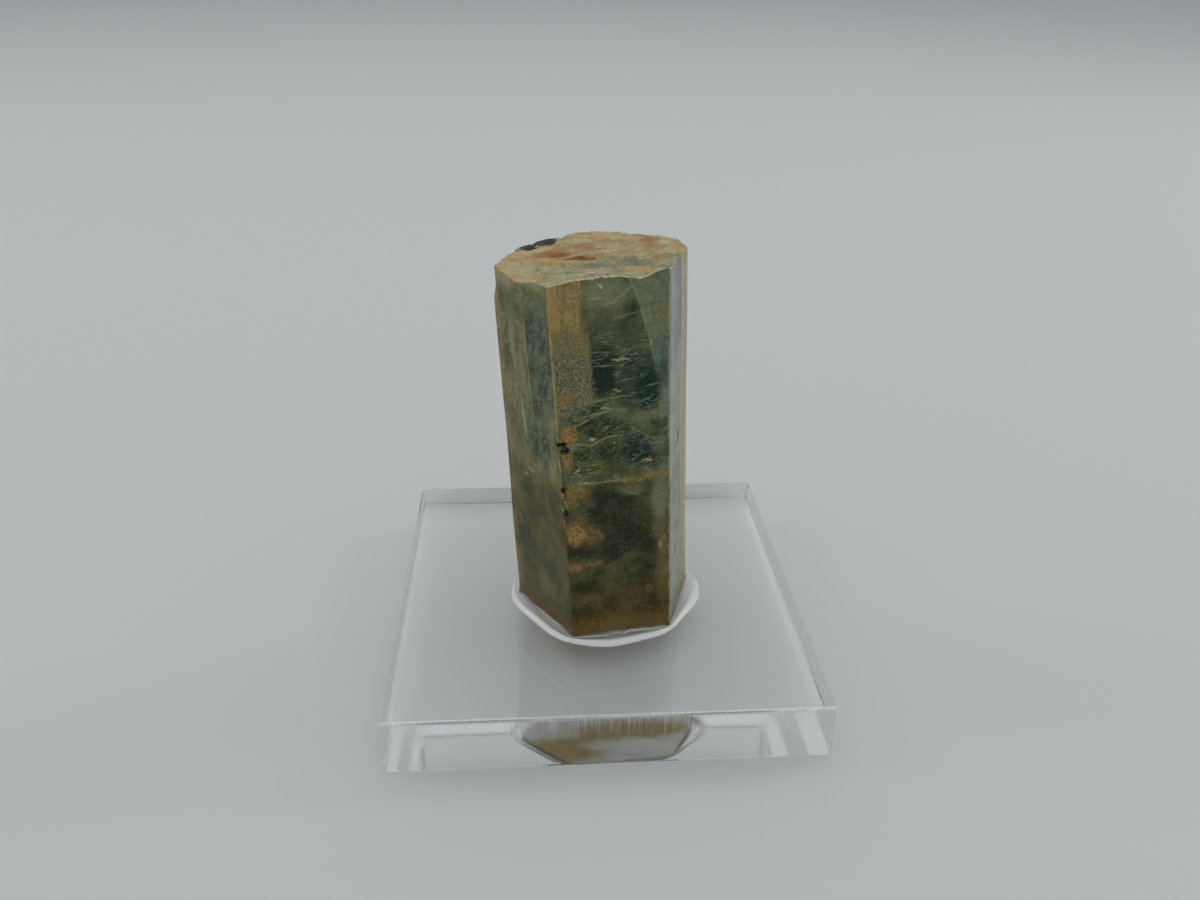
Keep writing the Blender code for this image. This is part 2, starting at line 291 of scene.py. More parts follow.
# Name, place, size, power, and whether the clear parts let it through; each looks at the stone.
LAMPS = (
    ("tent_roof", (0.0, 0.10, 0.90), 1.00, 0.5, False),
    ("tent_fill", (0.0, 0.10, 0.95), 1.20, 2.4, True),
    ("tent_back", (0.0, 1.10, 1.10), 1.30, 0.6, True),
    ("tent_left", (-0.60, 0.15, 0.40), 0.16, 0.30, False),
    ("tent_right", (0.60, 0.20, 0.40), 0.16, 0.40, False),
)


def add_table():
    bpy.ops.mesh.primitive_grid_add(x_subdivisions=8, y_subdivisions=8, size=TABLE_SIDE,
                                    location=(0.0, 0.0, -TABLE_DROP))
    table = bpy.context.object
    table.name = "table"
    bpy.ops.object.transform_apply(location=True)
    paper = Paint("pale_paper")
    table.data.materials.append(paper.finish({"Base Color": TABLE_COLOUR, "Roughness": 0.85}))


def add_light():
    """Light the tent, and give back the collection of parts that stop every lamp."""
    opaque = bpy.data.collections.new("opaque_parts")
    world = bpy.data.worlds.new("tent")
    bpy.context.scene.world = world
    world.use_nodes = True
    sky = world.node_tree.nodes["Background"]
    sky.inputs["Color"].default_value = (*SKY_COLOUR, 1.0)
    sky.inputs["Strength"].default_value = 1.0
    target = Vector((0.0, 0.0, (stone_low.z + stone_high.z) / 2.0))
    for name, place, size, power, through in LAMPS:
        bpy.ops.object.light_add(type="AREA", location=place)
        lamp = bpy.context.object
        lamp.name = name
        lamp.data.size = size
        lamp.data.energy = power
        lamp.data.color = LAMP_COLOUR
        if through:
            lamp.light_linking.blocker_collection = opaque
        lamp.rotation_euler = (target - Vector(place)).to_track_quat("-Z", "Y").to_euler()
    print(len(LAMPS), "soft lamps round the specimen")
    return opaque


add_table()
opaque_parts = add_light()

# %% [markdown]
# ## Working in edit mode without a window
#
# The modelling operators act on whatever is selected. These helpers clear the
# selection, open a piece, and pick faces by a test on their middle and their
# normal, which is what a modeller does by eye.

# %% Picking faces in code
def only(piece):
    bpy.ops.object.select_all(action="DESELECT")
    piece.select_set(True)
    bpy.context.view_layer.objects.active = piece


def pick_faces(piece, test):
    """Select the faces for which test(middle, normal) holds; the piece is open in edit mode."""
    bpy.ops.mesh.select_mode(type="FACE")
    bpy.ops.mesh.select_all(action="DESELECT")
    sheet = bmesh.from_edit_mesh(piece.data)
    for face in sheet.faces:
        face.select_set(test(face.calc_center_median(), face.normal))
    bmesh.update_edit_mesh(piece.data)


def round_off(piece, angle):
    only(piece)
    bpy.ops.object.shade_smooth_by_angle(angle=radians(angle))


def say(piece):
    print(piece.name, "has", len(piece.data.polygons), "faces")

# %% [markdown]
# ## How the glue lies
#
# The glue follows the six-sided foot, rounded off. The outline comes from the
# solid itself: the bead's outer edge is read at each azimuth from the packed
# mesh, so that the clear base and the bead agree about where they touch.

# %% The glue's outline
GLUE_STEPS = 96
READ_REACH = radians(6.0)
FULL_TURN = 2.0 * pi


def outline_reader(node, low, high):
    """Radius of a node's outline at an azimuth, about the middle of its box, between two heights."""
    box_low, box_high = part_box(node)
    middle = (box_low + box_high) / 2.0
    points = [vertex.co - middle for vertex in frame["nodes"][node].data.vertices
              if low <= vertex.co.z <= high]
    polar = sorted((atan2(point.y, point.x), hypot(point.x, point.y)) for point in points)

    def radius(azimuth):
        return max(far for turn, far in polar if abs((turn - azimuth + pi) % FULL_TURN - pi) < READ_REACH)
    return middle, radius


glue_middle, bead_radius = outline_reader("glue_bead", glue_low.z - MM, glue_low.z + 0.05 * MM)
# Where the glue draws in along the flat faces: azimuth, depth in mm, half width in degrees.
GLUE_DIPS = ((-146.0, 0.75, 30.0), (-75.0, 0.30, 20.0), (-33.0, 0.38, 20.0), (26.0, 1.0, 32.0),
             (95.0, 0.40, 22.0), (160.0, 0.30, 18.0))


def rounded(near):
    """A soft hump: 1 in the middle, 0 from near = 1 outwards."""
    return cos(near * pi / 2.0) ** 2 if near < 1.0 else 0.0


def glue_radius(azimuth):
    reach = bead_radius(azimuth)
    for middle, depth, half in GLUE_DIPS:
        away = abs((degrees(azimuth) - middle + 180.0) % 360.0 - 180.0)
        reach -= depth * MM * rounded(away / half)
    return reach


print("glue reaches", round(glue_radius(-pi / 2) / MM, 2), "mm to the front of its middle")

# %% [markdown]
# ## The clear base
#
# A square sawn from clear sheet, its two faces still polished and its sides
# only flamed or scraped, so they keep faint upright saw marks. A cube with
# bevelled edges is the right start. The top gets an inset face cut to the
# glue's outline: there the glue wets the sheet, so light must pass straight on
# instead of being mirrored, and that patch takes a finish with no bend of light.

# %% Model the clear base
BASE_EDGE = 0.32 * MM
# How far the inset face lies inside the top's rim, in parts of the side.
PATCH_INSET = 0.22


def model_base():
    size = base_high - base_low
    bpy.ops.object.select_all(action="DESELECT")
    bpy.ops.mesh.primitive_cube_add(size=1.0, location=(base_low + base_high) / 2.0, scale=size)
    base = bpy.context.object
    base.name = "clear_base"
    bpy.ops.object.transform_apply(location=True, scale=True)
    bpy.ops.object.mode_set(mode="EDIT")
    bpy.ops.mesh.select_all(action="SELECT")
    bpy.ops.mesh.bevel(offset=BASE_EDGE, segments=3, profile=0.6, affect="EDGES")
    pick_faces(base, lambda middle, normal: normal.z > 0.999)
    bpy.ops.mesh.inset(thickness=size.x * PATCH_INSET)
    bpy.ops.mesh.delete(type="ONLY_FACE")
    bpy.ops.mesh.select_mode(type="EDGE")
    bpy.ops.mesh.select_all(action="DESELECT")
    bpy.ops.mesh.select_non_manifold(extend=False)
    bpy.ops.mesh.subdivide(number_cuts=GLUE_STEPS // 4 - 1)
    bpy.ops.mesh.edge_face_add()
    bpy.ops.object.mode_set(mode="OBJECT")
    return base


def shape_patch(base):
    """Move the inset face's rim onto the glue's outline and give back the patch's face."""
    inset_half = (base_high.x - base_low.x) * (0.5 - PATCH_INSET)
    rim = [vertex for vertex in base.data.vertices
           if vertex.co.z > base_high.z - 0.001 * MM and max(abs(vertex.co.x), abs(vertex.co.y)) < inset_half]
    for vertex in rim:
        azimuth = atan2(vertex.co.y, vertex.co.x)
        reach = glue_radius(azimuth)
        vertex.co.x = glue_middle.x + reach * cos(azimuth)
        vertex.co.y = glue_middle.y + reach * sin(azimuth)
    base.data.update()
    patch = min((face for face in base.data.polygons if len(face.vertices) >= GLUE_STEPS),
                key=lambda face: hypot(face.center.x, face.center.y))
    print("contact patch has", len(patch.vertices), "corners")
    return patch


base = model_base()
patch_face = shape_patch(base)

# %% [markdown]
# ### The finish of the clear base
#
# One finish makes the sheet: clear right through, with smudges on the polished
# top, fine upright saw marks at the front, and a frosted front bevel whose white
# veil is also painted light for the bright, hazy line along that edge. The left
# and right sides have a finish of their own. There the saw's scratches break up
# the mirror inside the sheet, so light slips straight out. A renderer follows
# only a few inner mirrorings before it gives up and paints black, and sides
# that don't mirror keep those black corners away.

# %% Finish of the clear base
SAW_CELLS = (0.22, 0.22, 5.0)


def saw_marks(paint, place):
    return paint.grain(paint.celled(place, SAW_CELLS), 1.0, 4.0, 0.7)


def clear_sheet():
    paint = Paint("clear_acrylic")
    place = paint.place()
    x, y, z = paint.parts(place)
    half = (base_high.x - base_low.x) / 2.0 / MM
    from_side = half - abs(x).most(abs(y))
    side = from_side.soft(0.45, 0.15)
    front = y.soft(-half + 0.5, -half + 0.2)
    saw = saw_marks(paint, place)
    smudge = paint.grain(place, 0.35, 4.0, 0.65).soft(0.52, 0.74)
    back = y.soft(half - 0.5, half - 0.2)
    roughness = 0.012 + side * 0.03 + front * 0.05 + back * 0.20 + smudge * (1.0 - side) * 0.02
    marks = saw * (0.2 * side + 1.4 * front * z.soft(-3.6, -0.6)) + (1.0 - side) * smudge * 0.03
    comb = saw.soft(0.48, 0.64) * z.soft(-3.4, -0.4)
    # Painted light: the white veil on the front bevel also paints on the bright, hazy line along that edge.
    bevel = front * z.soft(-0.42, -0.26)
    frost = 0.03 * side + front * (0.03 + 0.24 * comb) + 0.35 * bevel
    return paint.finish({
        "Base Color": (0.988, 1.0, 0.998), "Roughness": roughness, "IOR": 1.49,
        "Transmission Weight": 1.0, "Normal": paint.bump(marks, 0.25, 0.04 * MM)},
        frost, {"Base Color": (0.90, 0.91, 0.90), "Roughness": 0.4})


def unbent(paint, roughness, veil=None, veil_sockets=None):
    """A clear surface that light crosses without being bent."""
    return paint.finish({"Base Color": (1.0, 1.0, 1.0), "Roughness": roughness, "IOR": 1.0,
                         "Transmission Weight": 1.0}, veil, veil_sockets)


def sawn_side():
    paint = Paint("sawn_side")
    frost = 0.10 + 0.22 * saw_marks(paint, paint.place()).soft(0.40, 0.70)
    return unbent(paint, 0.2, frost, {"Base Color": (0.93, 0.92, 0.88), "Roughness": 0.4})


def wetted_patch(name):
    """Two clear things touch here with no air between."""
    return unbent(Paint(name), 0.0)


base.data.materials.append(clear_sheet())
base.data.materials.append(wetted_patch("glued_patch"))
base.data.materials.append(sawn_side())
SHEET_SLOT, PATCH_SLOT, SAWN_SLOT = range(3)
for face in base.data.polygons:
    face.material_index = SAWN_SLOT if abs(face.normal.x) > 0.99 else SHEET_SLOT
patch_face.material_index = PATCH_SLOT
say(base)
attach(base, "root")
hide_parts("acrylic_base")

# %% [markdown]
# ## The glue bead
#
# Clear glue was squeezed out under the stone. Its outer edge is rounded and
# full, and towards the stone it dips and then climbs the wall. A disc with its
# top face drawn inwards ring by ring gives that profile; each ring is then
# moved so that the outer ones follow the glue's outline and the inner ones the
# stone's own foot. The middle of the disc ends up hidden inside the stone.

# %% Model the glue
# Across: 1 at the outer edge, 0 at the stone's wall. Height in mm above the base.
GLUE_PROFILE = (
    (1.00, 0.04), (0.995, 0.13), (0.975, 0.23), (0.94, 0.33), (0.89, 0.41), (0.82, 0.46), (0.74, 0.47),
    (0.64, 0.45), (0.52, 0.41), (0.40, 0.39), (0.29, 0.42), (0.19, 0.49), (0.10, 0.60), (0.04, 0.70),
    (-0.04, 0.74),
)
# How far the glue's inner edge reaches into the stone, and how much of the stone counts as its foot.
STONE_INSET = 0.12 * MM
FOOT_HEIGHT = 3.4 * MM
FOOT_STEPS = 360


def foot_outline():
    """Radius of the stone's own foot about the glue's middle."""
    band = [vertex.co - glue_middle for vertex in frame["nodes"]["aquamarine_crystal"].data.vertices
            if vertex.co.z < stone_low.z + FOOT_HEIGHT]
    support = {}
    for step in range(FOOT_STEPS):
        azimuth = step * FULL_TURN / FOOT_STEPS
        across = Vector((cos(azimuth), sin(azimuth), 0.0))
        support[azimuth] = max(point.dot(across) for point in band)

    def radius(azimuth):
        # The foot is convex: its edge is the nearest of all its support lines.
        return min(far / cos(turn - azimuth) for turn, far in support.items() if cos(turn - azimuth) > 0.2)
    return radius


foot_radius = foot_outline()
# The bead's height rises and falls by this share, in three waves round the stone.
GLUE_SWELL = 0.06
# How far the bead's underside clears the base.
GLUE_GAP = 0.01 * MM


def model_glue():
    bpy.ops.object.select_all(action="DESELECT")
    bpy.ops.mesh.primitive_cylinder_add(vertices=GLUE_STEPS * 2, radius=1.0, depth=1.0, end_fill_type="NGON")
    glue = bpy.context.object
    glue.name = "glue"
    bpy.ops.object.mode_set(mode="EDIT")
    pick_faces(glue, lambda middle, normal: normal.z > 0.9)
    for ring in GLUE_PROFILE[1:]:
        bpy.ops.mesh.extrude_region_move(TRANSFORM_OT_translate={"value": (0.0, 0.0, 1.0)})
    bpy.ops.object.mode_set(mode="OBJECT")
    outward = glue.data.attributes.new("outward", "FLOAT", "POINT")
    bottom = base_high.z + GLUE_GAP
    for vertex in glue.data.vertices:
        azimuth = atan2(vertex.co.y, vertex.co.x)
        level = round(vertex.co.z - 0.5)
        across, height = (1.0, 0.0) if level < 0 else GLUE_PROFILE[level]
        outward.data[vertex.index].value = max(0.0, across)
        outer = glue_radius(azimuth)
        inner = min(foot_radius(azimuth) - STONE_INSET, outer)
        reach = inner + (outer - inner) * across
        swell = 1.0 + GLUE_SWELL * sin(3.0 * azimuth + 0.7)
        vertex.co = (glue_middle.x + reach * cos(azimuth), glue_middle.y + reach * sin(azimuth),
                     bottom if level < 0 else bottom + height * swell * MM)
    return glue


glue = model_glue()

# %% [markdown]
# ### The finish of the glue
#
# Set glue is clear, but its full outer edge gathers and mirrors light like a lens
# and shows as a bright ribbon. That ribbon is painted light: a white veil over a
# clear surface paints it on, strongest at the front, and gives it its place and
# width. The ring that a point belongs to was kept as an attribute, so the ribbon
# follows the bead all round, and a wavering line of painted highlight lies
# inside it.

# %% Finish of the glue
def set_glue():
    paint = Paint("set_glue")
    place = paint.place()
    y = paint.parts(place)[1]
    ripple = paint.grain(place, 0.35, 1.0, 0.5)
    outward = paint.node("ShaderNodeAttribute", {"attribute_name": "outward"}, output=2)
    # Painted light: the white veil paints on the bright ribbon, brighter towards the front, and a thin
    # highlight line inside it.
    ribbon = outward.soft(0.46, 0.74) * (0.12 + 0.88 * y.soft(1.5, -4.5))
    highlight_line = (outward - 0.28 - (ripple - 0.5) * 0.8).line(0.07) * y.soft(-6.0, -8.0)
    painted_light_veil = 0.06 + 0.80 * ribbon + 0.45 * highlight_line
    return paint.finish({
        "Base Color": (1.0, 1.0, 1.0), "Roughness": 0.02, "IOR": 1.48,
        "Transmission Weight": 1.0, "Normal": paint.bump(ripple, 0.2, 0.2 * MM)},
        painted_light_veil, {"Base Color": (1.0, 1.0, 0.99), "Roughness": 0.08})


glue.data.materials.append(set_glue())
glue.data.materials.append(wetted_patch("glue_underside"))
for face in glue.data.polygons:
    face.material_index = 1 if face.normal.z < -0.9 else 0
round_off(glue, 40.0)
say(glue)
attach(glue, "root")
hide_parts("glue_bead")

# %% [markdown]
# ## The stone
#
# One natural solid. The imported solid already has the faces, the ledge, the
# chips and the dark grains, so its mesh is copied, its loose triangles are
# merged, and it is subdivided until a small relief can be pressed into it.

# %% Copy the stone
MERGE = 0.004 * MM


def copy_stone():
    source = frame["nodes"]["aquamarine_crystal"]
    mesh = source.data.copy()
    mesh.materials.clear()
    stone = bpy.data.objects.new("beryl_crystal", mesh)
    bpy.context.scene.collection.objects.link(stone)
    only(stone)
    bpy.ops.object.mode_set(mode="EDIT")
    bpy.ops.mesh.select_all(action="SELECT")
    bpy.ops.mesh.remove_doubles(threshold=MERGE)
    bpy.ops.mesh.tris_convert_to_quads(face_threshold=radians(20.0), shape_threshold=radians(50.0))
    bpy.ops.mesh.subdivide(number_cuts=3)
    bpy.ops.mesh.quads_convert_to_tris()
    bpy.ops.object.mode_set(mode="OBJECT")
    return stone


stone = copy_stone()
say(stone)

# %% [markdown]
# ### Relief of the natural end, and the seat of the foot
#
# The end was never polished: it rolls gently, it is gritty, and its rim is
# chipped. Three noises of different size give that, each weighed by how far the
# surface faces up. Two soft rises lift the ledge's rim. The dark grains are
# drawn together along the rim and pressed low. Below, the solids keep small
# gaps between stone, glue and base. The foot is let down to close them: its sole
# is laid flat, a hair below the top of the base, so that no air shows there.

# %% Relief, rises, grains and seat
# Middle of each dark grain, and how far it is moved and pressed down, in mm.
GRAIN_SPOTS = ((-7.75, 3.05), (-6.85, 4.0), (-5.75, 5.0), (-4.6, 6.2))
GRAIN_REACH = 1.7
GRAIN_SLIDE = 1.0
GRAIN_MIDDLE, GRAIN_SQUEEZE = -6.2, 0.30
GRAIN_FLOOR = 45.35
GRAIN_PRESS = 0.55
# How far below its top the natural end reaches, then the heights of its three reliefs in mm.
END_SPAN = 4.4 * MM
COARSE_RELIEF, FINE_RELIEF, RIM_CHIP = 0.075, 0.05, 0.22
# Where the rim of the ledge stands a little higher: x, y, rise and reach in mm.
RIM_LIFTS = ((6.3, -9.3, 0.60, 3.4), (-1.0, -9.8, 0.35, 5.5))
LIFT_FADE = 2.0 * MM
# How far the foot is let down, over what height, and where its flat sole comes to lie.
STONE_SINK = 0.34 * MM
SINK_HEIGHT = 1.5 * MM
SEAT = base_high.z - 0.02 * MM


def grain_shift(spot):
    """How far a place near a dark grain is drawn along the rim and pressed down."""
    near = min(hypot(spot.x - x, spot.y - y) for x, y in GRAIN_SPOTS) / GRAIN_REACH
    if near >= 1.0 or spot.z < GRAIN_FLOOR:
        return Vector()
    slide = GRAIN_SLIDE + (GRAIN_MIDDLE - spot.x) * GRAIN_SQUEEZE
    return Vector((slide * rounded(near), 0.0, (GRAIN_FLOOR - spot.z) * GRAIN_PRESS)) * MM


def rim_lift(spot):
    """How much higher, in mm, the natural end stands at a place."""
    return sum(rise * rounded(hypot(spot.x - x, spot.y - y) / reach) for x, y, rise, reach in RIM_LIFTS)


def end_relief(spot, normal):
    """How far, in mm, the natural end is raised along its normal."""
    facing_up = max(0.0, min(1.0, (normal.z - 0.35) / 0.4))
    on_rim = max(0.0, 1.0 - abs(normal.z - 0.6) / 0.45)
    coarse = noise.noise(spot * 0.9) * COARSE_RELIEF
    fine = noise.noise(spot * 2.6 + Vector((4.0, 0.0, 0.0))) * FINE_RELIEF
    chip = noise.noise(spot * 1.3 + Vector((0.0, 7.0, 0.0))) * RIM_CHIP
    return facing_up * (coarse + fine) + on_rim * (chip - RIM_CHIP * 0.4)


def press_relief(stone):
    mesh = stone.data
    end_foot = stone_high.z - END_SPAN
    for vertex, normal in zip(mesh.vertices, [v.normal.copy() for v in mesh.vertices]):
        spot = vertex.co / MM
        level = vertex.co.z
        if level > end_foot:
            vertex.co += normal * end_relief(spot, normal) * MM
            vertex.co.z += rim_lift(spot) * min(1.0, (level - end_foot) / LIFT_FADE) * MM
        vertex.co += grain_shift(spot)
        low_part = 1.0 - (level - stone_low.z) / SINK_HEIGHT
        if low_part > 0.0:
            sunk = max(vertex.co.z - STONE_SINK * low_part, SEAT)
            vertex.co.z = min(sunk, SEAT) if normal.z < -0.4 else sunk
    mesh.update()


press_relief(stone)
print("the sole lies", round((base_high.z - SEAT) / MM, 3), "mm below the top of the base")

# %% [markdown]
# ### Worn edges
#
# The sharp edges round the natural end are selected by the angle between their
# faces and smoothed a few times, which rubs them a little round.

# %% Rub the rim
RIM_RUBS = 3


def wear_rim(stone):
    only(stone)
    bpy.ops.object.mode_set(mode="EDIT")
    bpy.ops.mesh.select_mode(type="EDGE")
    bpy.ops.mesh.select_all(action="DESELECT")
    bpy.ops.mesh.edges_select_sharp(sharpness=radians(38.0))
    sheet = bmesh.from_edit_mesh(stone.data)
    for edge in sheet.edges:
        if min(vertex.co.z for vertex in edge.verts) < stone_high.z - END_SPAN:
            edge.select_set(False)
    bmesh.update_edit_mesh(stone.data)
    bpy.ops.mesh.select_more()
    bpy.ops.mesh.vertices_smooth(factor=0.5, repeat=RIM_RUBS)
    bpy.ops.object.mode_set(mode="OBJECT")


wear_rim(stone)
round_off(stone, 32.0)
say(stone)

# %% [markdown]
# ### Where on the stone a point lies
#
# The stone is one piece of matter, so its colours live in space and not on
# faces. Still, each face shows its own slice. The faces are found again from
# their planes: the face a point belongs to is the plane it lies nearest behind.
# Places are also set upright first, because the crystal leans a little.

# %% Planes of the crystal's faces
# Azimuth and lean of the outward normal, in degrees, and distance from the middle, in mm.
WALLS = {
    "front": (-81.7, 1.13, 9.82), "left": (-145.8, -2.56, 9.59), "right": (-18.3, 2.78, 8.96),
    "left_back": (158.0, -2.0, 8.30), "narrow_right": (8.0, 2.9, 9.32),
}
MIDDLE = 20.0
LEAN_X, LEAN_Y = -0.05, 0.02
# Half the width of the join between two faces' colours, in mm.
JOIN = 0.05


def depth_behind(paint, place, name):
    azimuth, lean, distance = WALLS[name]
    turn, lean = radians(azimuth), radians(lean)
    normal = Vector((cos(turn) * cos(lean), sin(turn) * cos(lean), sin(lean)))
    along = paint.node("ShaderNodeVectorMath", {"operation": "DOT_PRODUCT"}, {0: place, 1: normal}, "Value")
    return (distance + MIDDLE * normal.z) - along


class StonePlaces:
    """Every coordinate and mask that the stone's colours share, in mm.

    upright is the place with the crystal's lean taken out; loose, ragged and shaky are the same
    pushed about, coarsely to finely. past_a to past_d say how far round a corner a point lies:
    a between left and left back, b front and left, c front and right, d right and narrow right.
    """

    def __init__(self, paint):
        self.paint = paint
        self.place = paint.place()
        x, y, z = paint.parts(self.place)
        upright = paint.joined(x - (z - MIDDLE) * LEAN_X, y - (z - MIDDLE) * LEAN_Y, z)
        self.upright = upright
        self.loose = paint.shaken(upright, 0.45, 0.55, 3.0)
        self.ragged = paint.shaken(paint.shaken(upright, 0.5, 0.35), 2.2, 0.38, 4.0)
        self.shaky = paint.shaken(upright, 1.1, 0.16)
        self.ragged_pits = paint.shaken(self.place, 2.6, 0.16)
        self.x, self.y, self.z = paint.parts(upright)
        self.rag_x, self.rag_y, self.rag_z = paint.parts(self.ragged)
        behind = {name: depth_behind(paint, self.place, name) for name in WALLS}
        self.past_b = behind["front"] - behind["left"]
        self.past_c = behind["front"] - behind["right"]
        self.past_a = behind["left"] - behind["left_back"]
        self.past_d = behind["right"] - behind["narrow_right"]
        self.on_left = self.past_b.soft(-JOIN, JOIN)
        self.on_right = self.past_c.soft(-JOIN, JOIN)
        self.on_left_back = self.past_a.soft(-JOIN, JOIN) * self.on_left
        facing = paint.node("ShaderNodeNewGeometry", output="True Normal")
        self.up = paint.parts(facing)[2]
        self.end = self.up.soft(0.42, 0.60) * self.z.soft(36.0, 37.0)
        # Painted light: the sole and, at 0.65, the lowest half mm of the walls under the glue take the sole's
        # pale colour, lighter than the stone, where hardly any light reaches.
        painted_light_foot_band = paint.parts(self.shaky)[2].soft(0.56, 0.30)
        self.under = self.up.soft(-0.42, -0.60).most(painted_light_foot_band * 0.65)


print("the stone's colours know", len(WALLS), "of its faces")

# %% [markdown]
# ### Colours that allow for the light
#
# What the eye sees on an upright face is less than half of the colour in the
# stone, because such a face looks at the horizon and not at the lamps, and the
# polish adds a thin grey haze. Naming colours as they appear and working back
# from there keeps the lists below readable.

# %% Colours as seen, turned into colours of the stone
WALL_LIGHT = 0.43
END_LIGHT = 0.68
HAZE = 0.009
FLANK_HAZE = 0.022
DARKEST = 0.004


def seen(light, red, green, blue, haze=HAZE):
    return tuple(max(DARKEST, (value - haze) / light) for value in tone(red, green, blue))


def wall(red, green, blue):
    return seen(WALL_LIGHT, red, green, blue)


def flank(red, green, blue):
    """The left face is met at a flatter angle, so its gloss is stronger."""
    return seen(WALL_LIGHT, red, green, blue, FLANK_HAZE)


def end(red, green, blue):
    return seen(END_LIGHT, red, green, blue)


print("sea green in the stone itself:", [round(part, 3) for part in wall(28, 41, 35)])

# %% [markdown]
# ### Patches, streaks, threads and nets
#
# Beryl of this kind is full of healed cracks. Four patterns make them. A patch
# is a soft blot with a ragged edge, and a streak is a long thin one, turned.
# Threads are the places where a slow noise crosses its middle value, which
# gives long branching lines. A net is the border between the cells of a Voronoi
# pattern.

# %% Four patterns
FRONT_DEPTH = -10.0
LEFT_DEPTH = -9.5
THROUGH = 5.0
END_HEIGHT, END_REACH = 39.5, 3.0
STREAK_WIDTH = 0.075


def front_patches(paint, vector, patches):
    """Patches on the front: (x, height), (half width, half height), strength."""
    return paint.most_of(vector, [((x, FRONT_DEPTH, z), (wide, THROUGH, high), strength)
                                  for (x, z), (wide, high), strength in patches])


def front_streaks(paint, at, streaks):
    """Thin lines on the front: (x, height) of the middle, half length, climb in degrees, strength."""
    found = None
    for climb in sorted({streak[2] for streak in streaks}):
        turn = Matrix.Rotation(radians(climb), 3, "Y")
        turned = paint.node("ShaderNodeVectorRotate", {"rotation_type": "Y_AXIS"},
                            {"Vector": at.shaky, "Angle": radians(climb)})
        for (x, z), half, slope, strength in streaks:
            if slope == climb:
                centre = turn @ Vector((x, FRONT_DEPTH, z))
                one = paint.blotch(turned, centre, (half, THROUGH, STREAK_WIDTH), 0.8) * strength
                found = one if found is None else found.most(one)
    return found


def left_patches(paint, vector, patches):
    """Patches on the left face: (y, height), (half width, half height), strength."""
    return paint.most_of(vector, [((LEFT_DEPTH, y, z), (THROUGH, wide, high), strength)
                                  for (y, z), (wide, high), strength in patches])


def end_patches(paint, vector, patches):
    """Patches on the end: (x, y), (half width, half depth), strength."""
    return paint.most_of(vector, [((x, y, END_HEIGHT), (wide, deep, END_REACH), strength)
                                  for (x, y), (wide, deep), strength in patches])


def threads(paint, vector, scale, width, detail=3.0, warp=0.2):
    return abs(paint.grain(vector, scale, detail, 0.6, warp) - 0.5).soft(width, width * 0.2)


def net(paint, vector, scale, width):
    cell = paint.node("ShaderNodeTexVoronoi", {"feature": "DISTANCE_TO_EDGE"},
                      {"Vector": vector, "Scale": scale, "Randomness": 1.0})
    return cell.soft(width, 0.0)

# %% [markdown]
# ### Laying tones over each other
#
# Each face is coloured as a painter would do it: one tone over another, each
# through its own mask. A small class keeps the colour so far. The front face
# also has a few noises in common, so that all its tones break up together.

# %% A coat of colour, and the front's own noises
class Coat:
    """A colour that is laid on in turns."""

    def __init__(self, paint, colour):
        self.paint = paint
        self.colour = colour

    def lay(self, mask, colour):
        self.colour = self.paint.blend(mask, self.colour, colour)


def tilted(degrees_up):
    """Turn for a pattern that is stretched across the front and climbs to the right."""
    return (0.0, -radians(degrees_up), 0.0)


class FrontGrain:
    """The noises that the front face's tones share, from coarse to fine."""

    def __init__(self, paint, at):
        self.cloud = paint.grain(at.loose, 0.34, 5.0, 0.62)
        self.grit = paint.grain(at.upright, 3.4, 4.0, 0.72)
        self.upright = paint.grain(paint.celled(at.upright, (0.22, 0.22, 3.4)), 1.0, 3.0)
        self.level = paint.grain(paint.celled(at.loose, (1.1, 1.1, 0.14), tilted(9.0)), 1.0, 4.0, 0.65)
        self.rust = paint.grain(at.shaky, 2.4, 4.0, 0.7)
        self.above_band = at.rag_z.soft(18.4, 19.4)
        self.wander = (self.cloud - 0.5) * 1.6 + (self.grit - 0.5) * 0.5

# %% [markdown]
# ### The front face: its body
#
# Dark sea green above a healed crack at mid height, olive brown below it. Near
# the right edge another crack bows down from the end, and the stone beyond it
# is lighter. A parabola in x and height draws that line.

# %% Body colour of the front
CRACK_TOP, CRACK_X = 39.6, 2.83
CRACK_SLOPE, CRACK_BOW = 0.375, 0.0130


def front_body(paint, grain):
    cloud = grain.cloud
    above = paint.blend(cloud.soft(0.34, 0.66), wall(42, 50, 38), wall(76, 80, 58))
    below = paint.blend(cloud.soft(0.36, 0.66), wall(40, 41, 27), wall(68, 65, 43))
    return Coat(paint, paint.blend(grain.above_band, below, above))


def lay_bowed_crack(coat, at, grain):
    paint = coat.paint
    drop = CRACK_TOP - at.z
    past = at.x - (CRACK_X + drop * (CRACK_SLOPE - CRACK_BOW * drop))
    reach = at.rag_z.soft(24.5, 27.0)
    beyond = paint.blend(at.rag_z.soft(31.0, 35.0), wall(76, 92, 82), wall(86, 94, 72))
    cloudy = (grain.cloud * 0.5 + grain.grit * 0.5).soft(0.54, 0.42)
    beyond = paint.blend(cloudy * 0.6, beyond, wall(54, 66, 54))
    coat.lay(past.soft(-0.05, 0.05) * reach * 0.85, beyond)
    coat.lay(past.soft(-0.08, 0.0) * past.soft(0.24, 0.04) * reach * 0.50, wall(106, 112, 84))


print("the bowed crack starts", CRACK_TOP, "mm above the base")

# %% [markdown]
# ### The front face: windows and veils
#
# Windows into clearer stone are sea green; further down they turn olive black.
# Paler veils lie between them, and an olive one just above the healed crack.

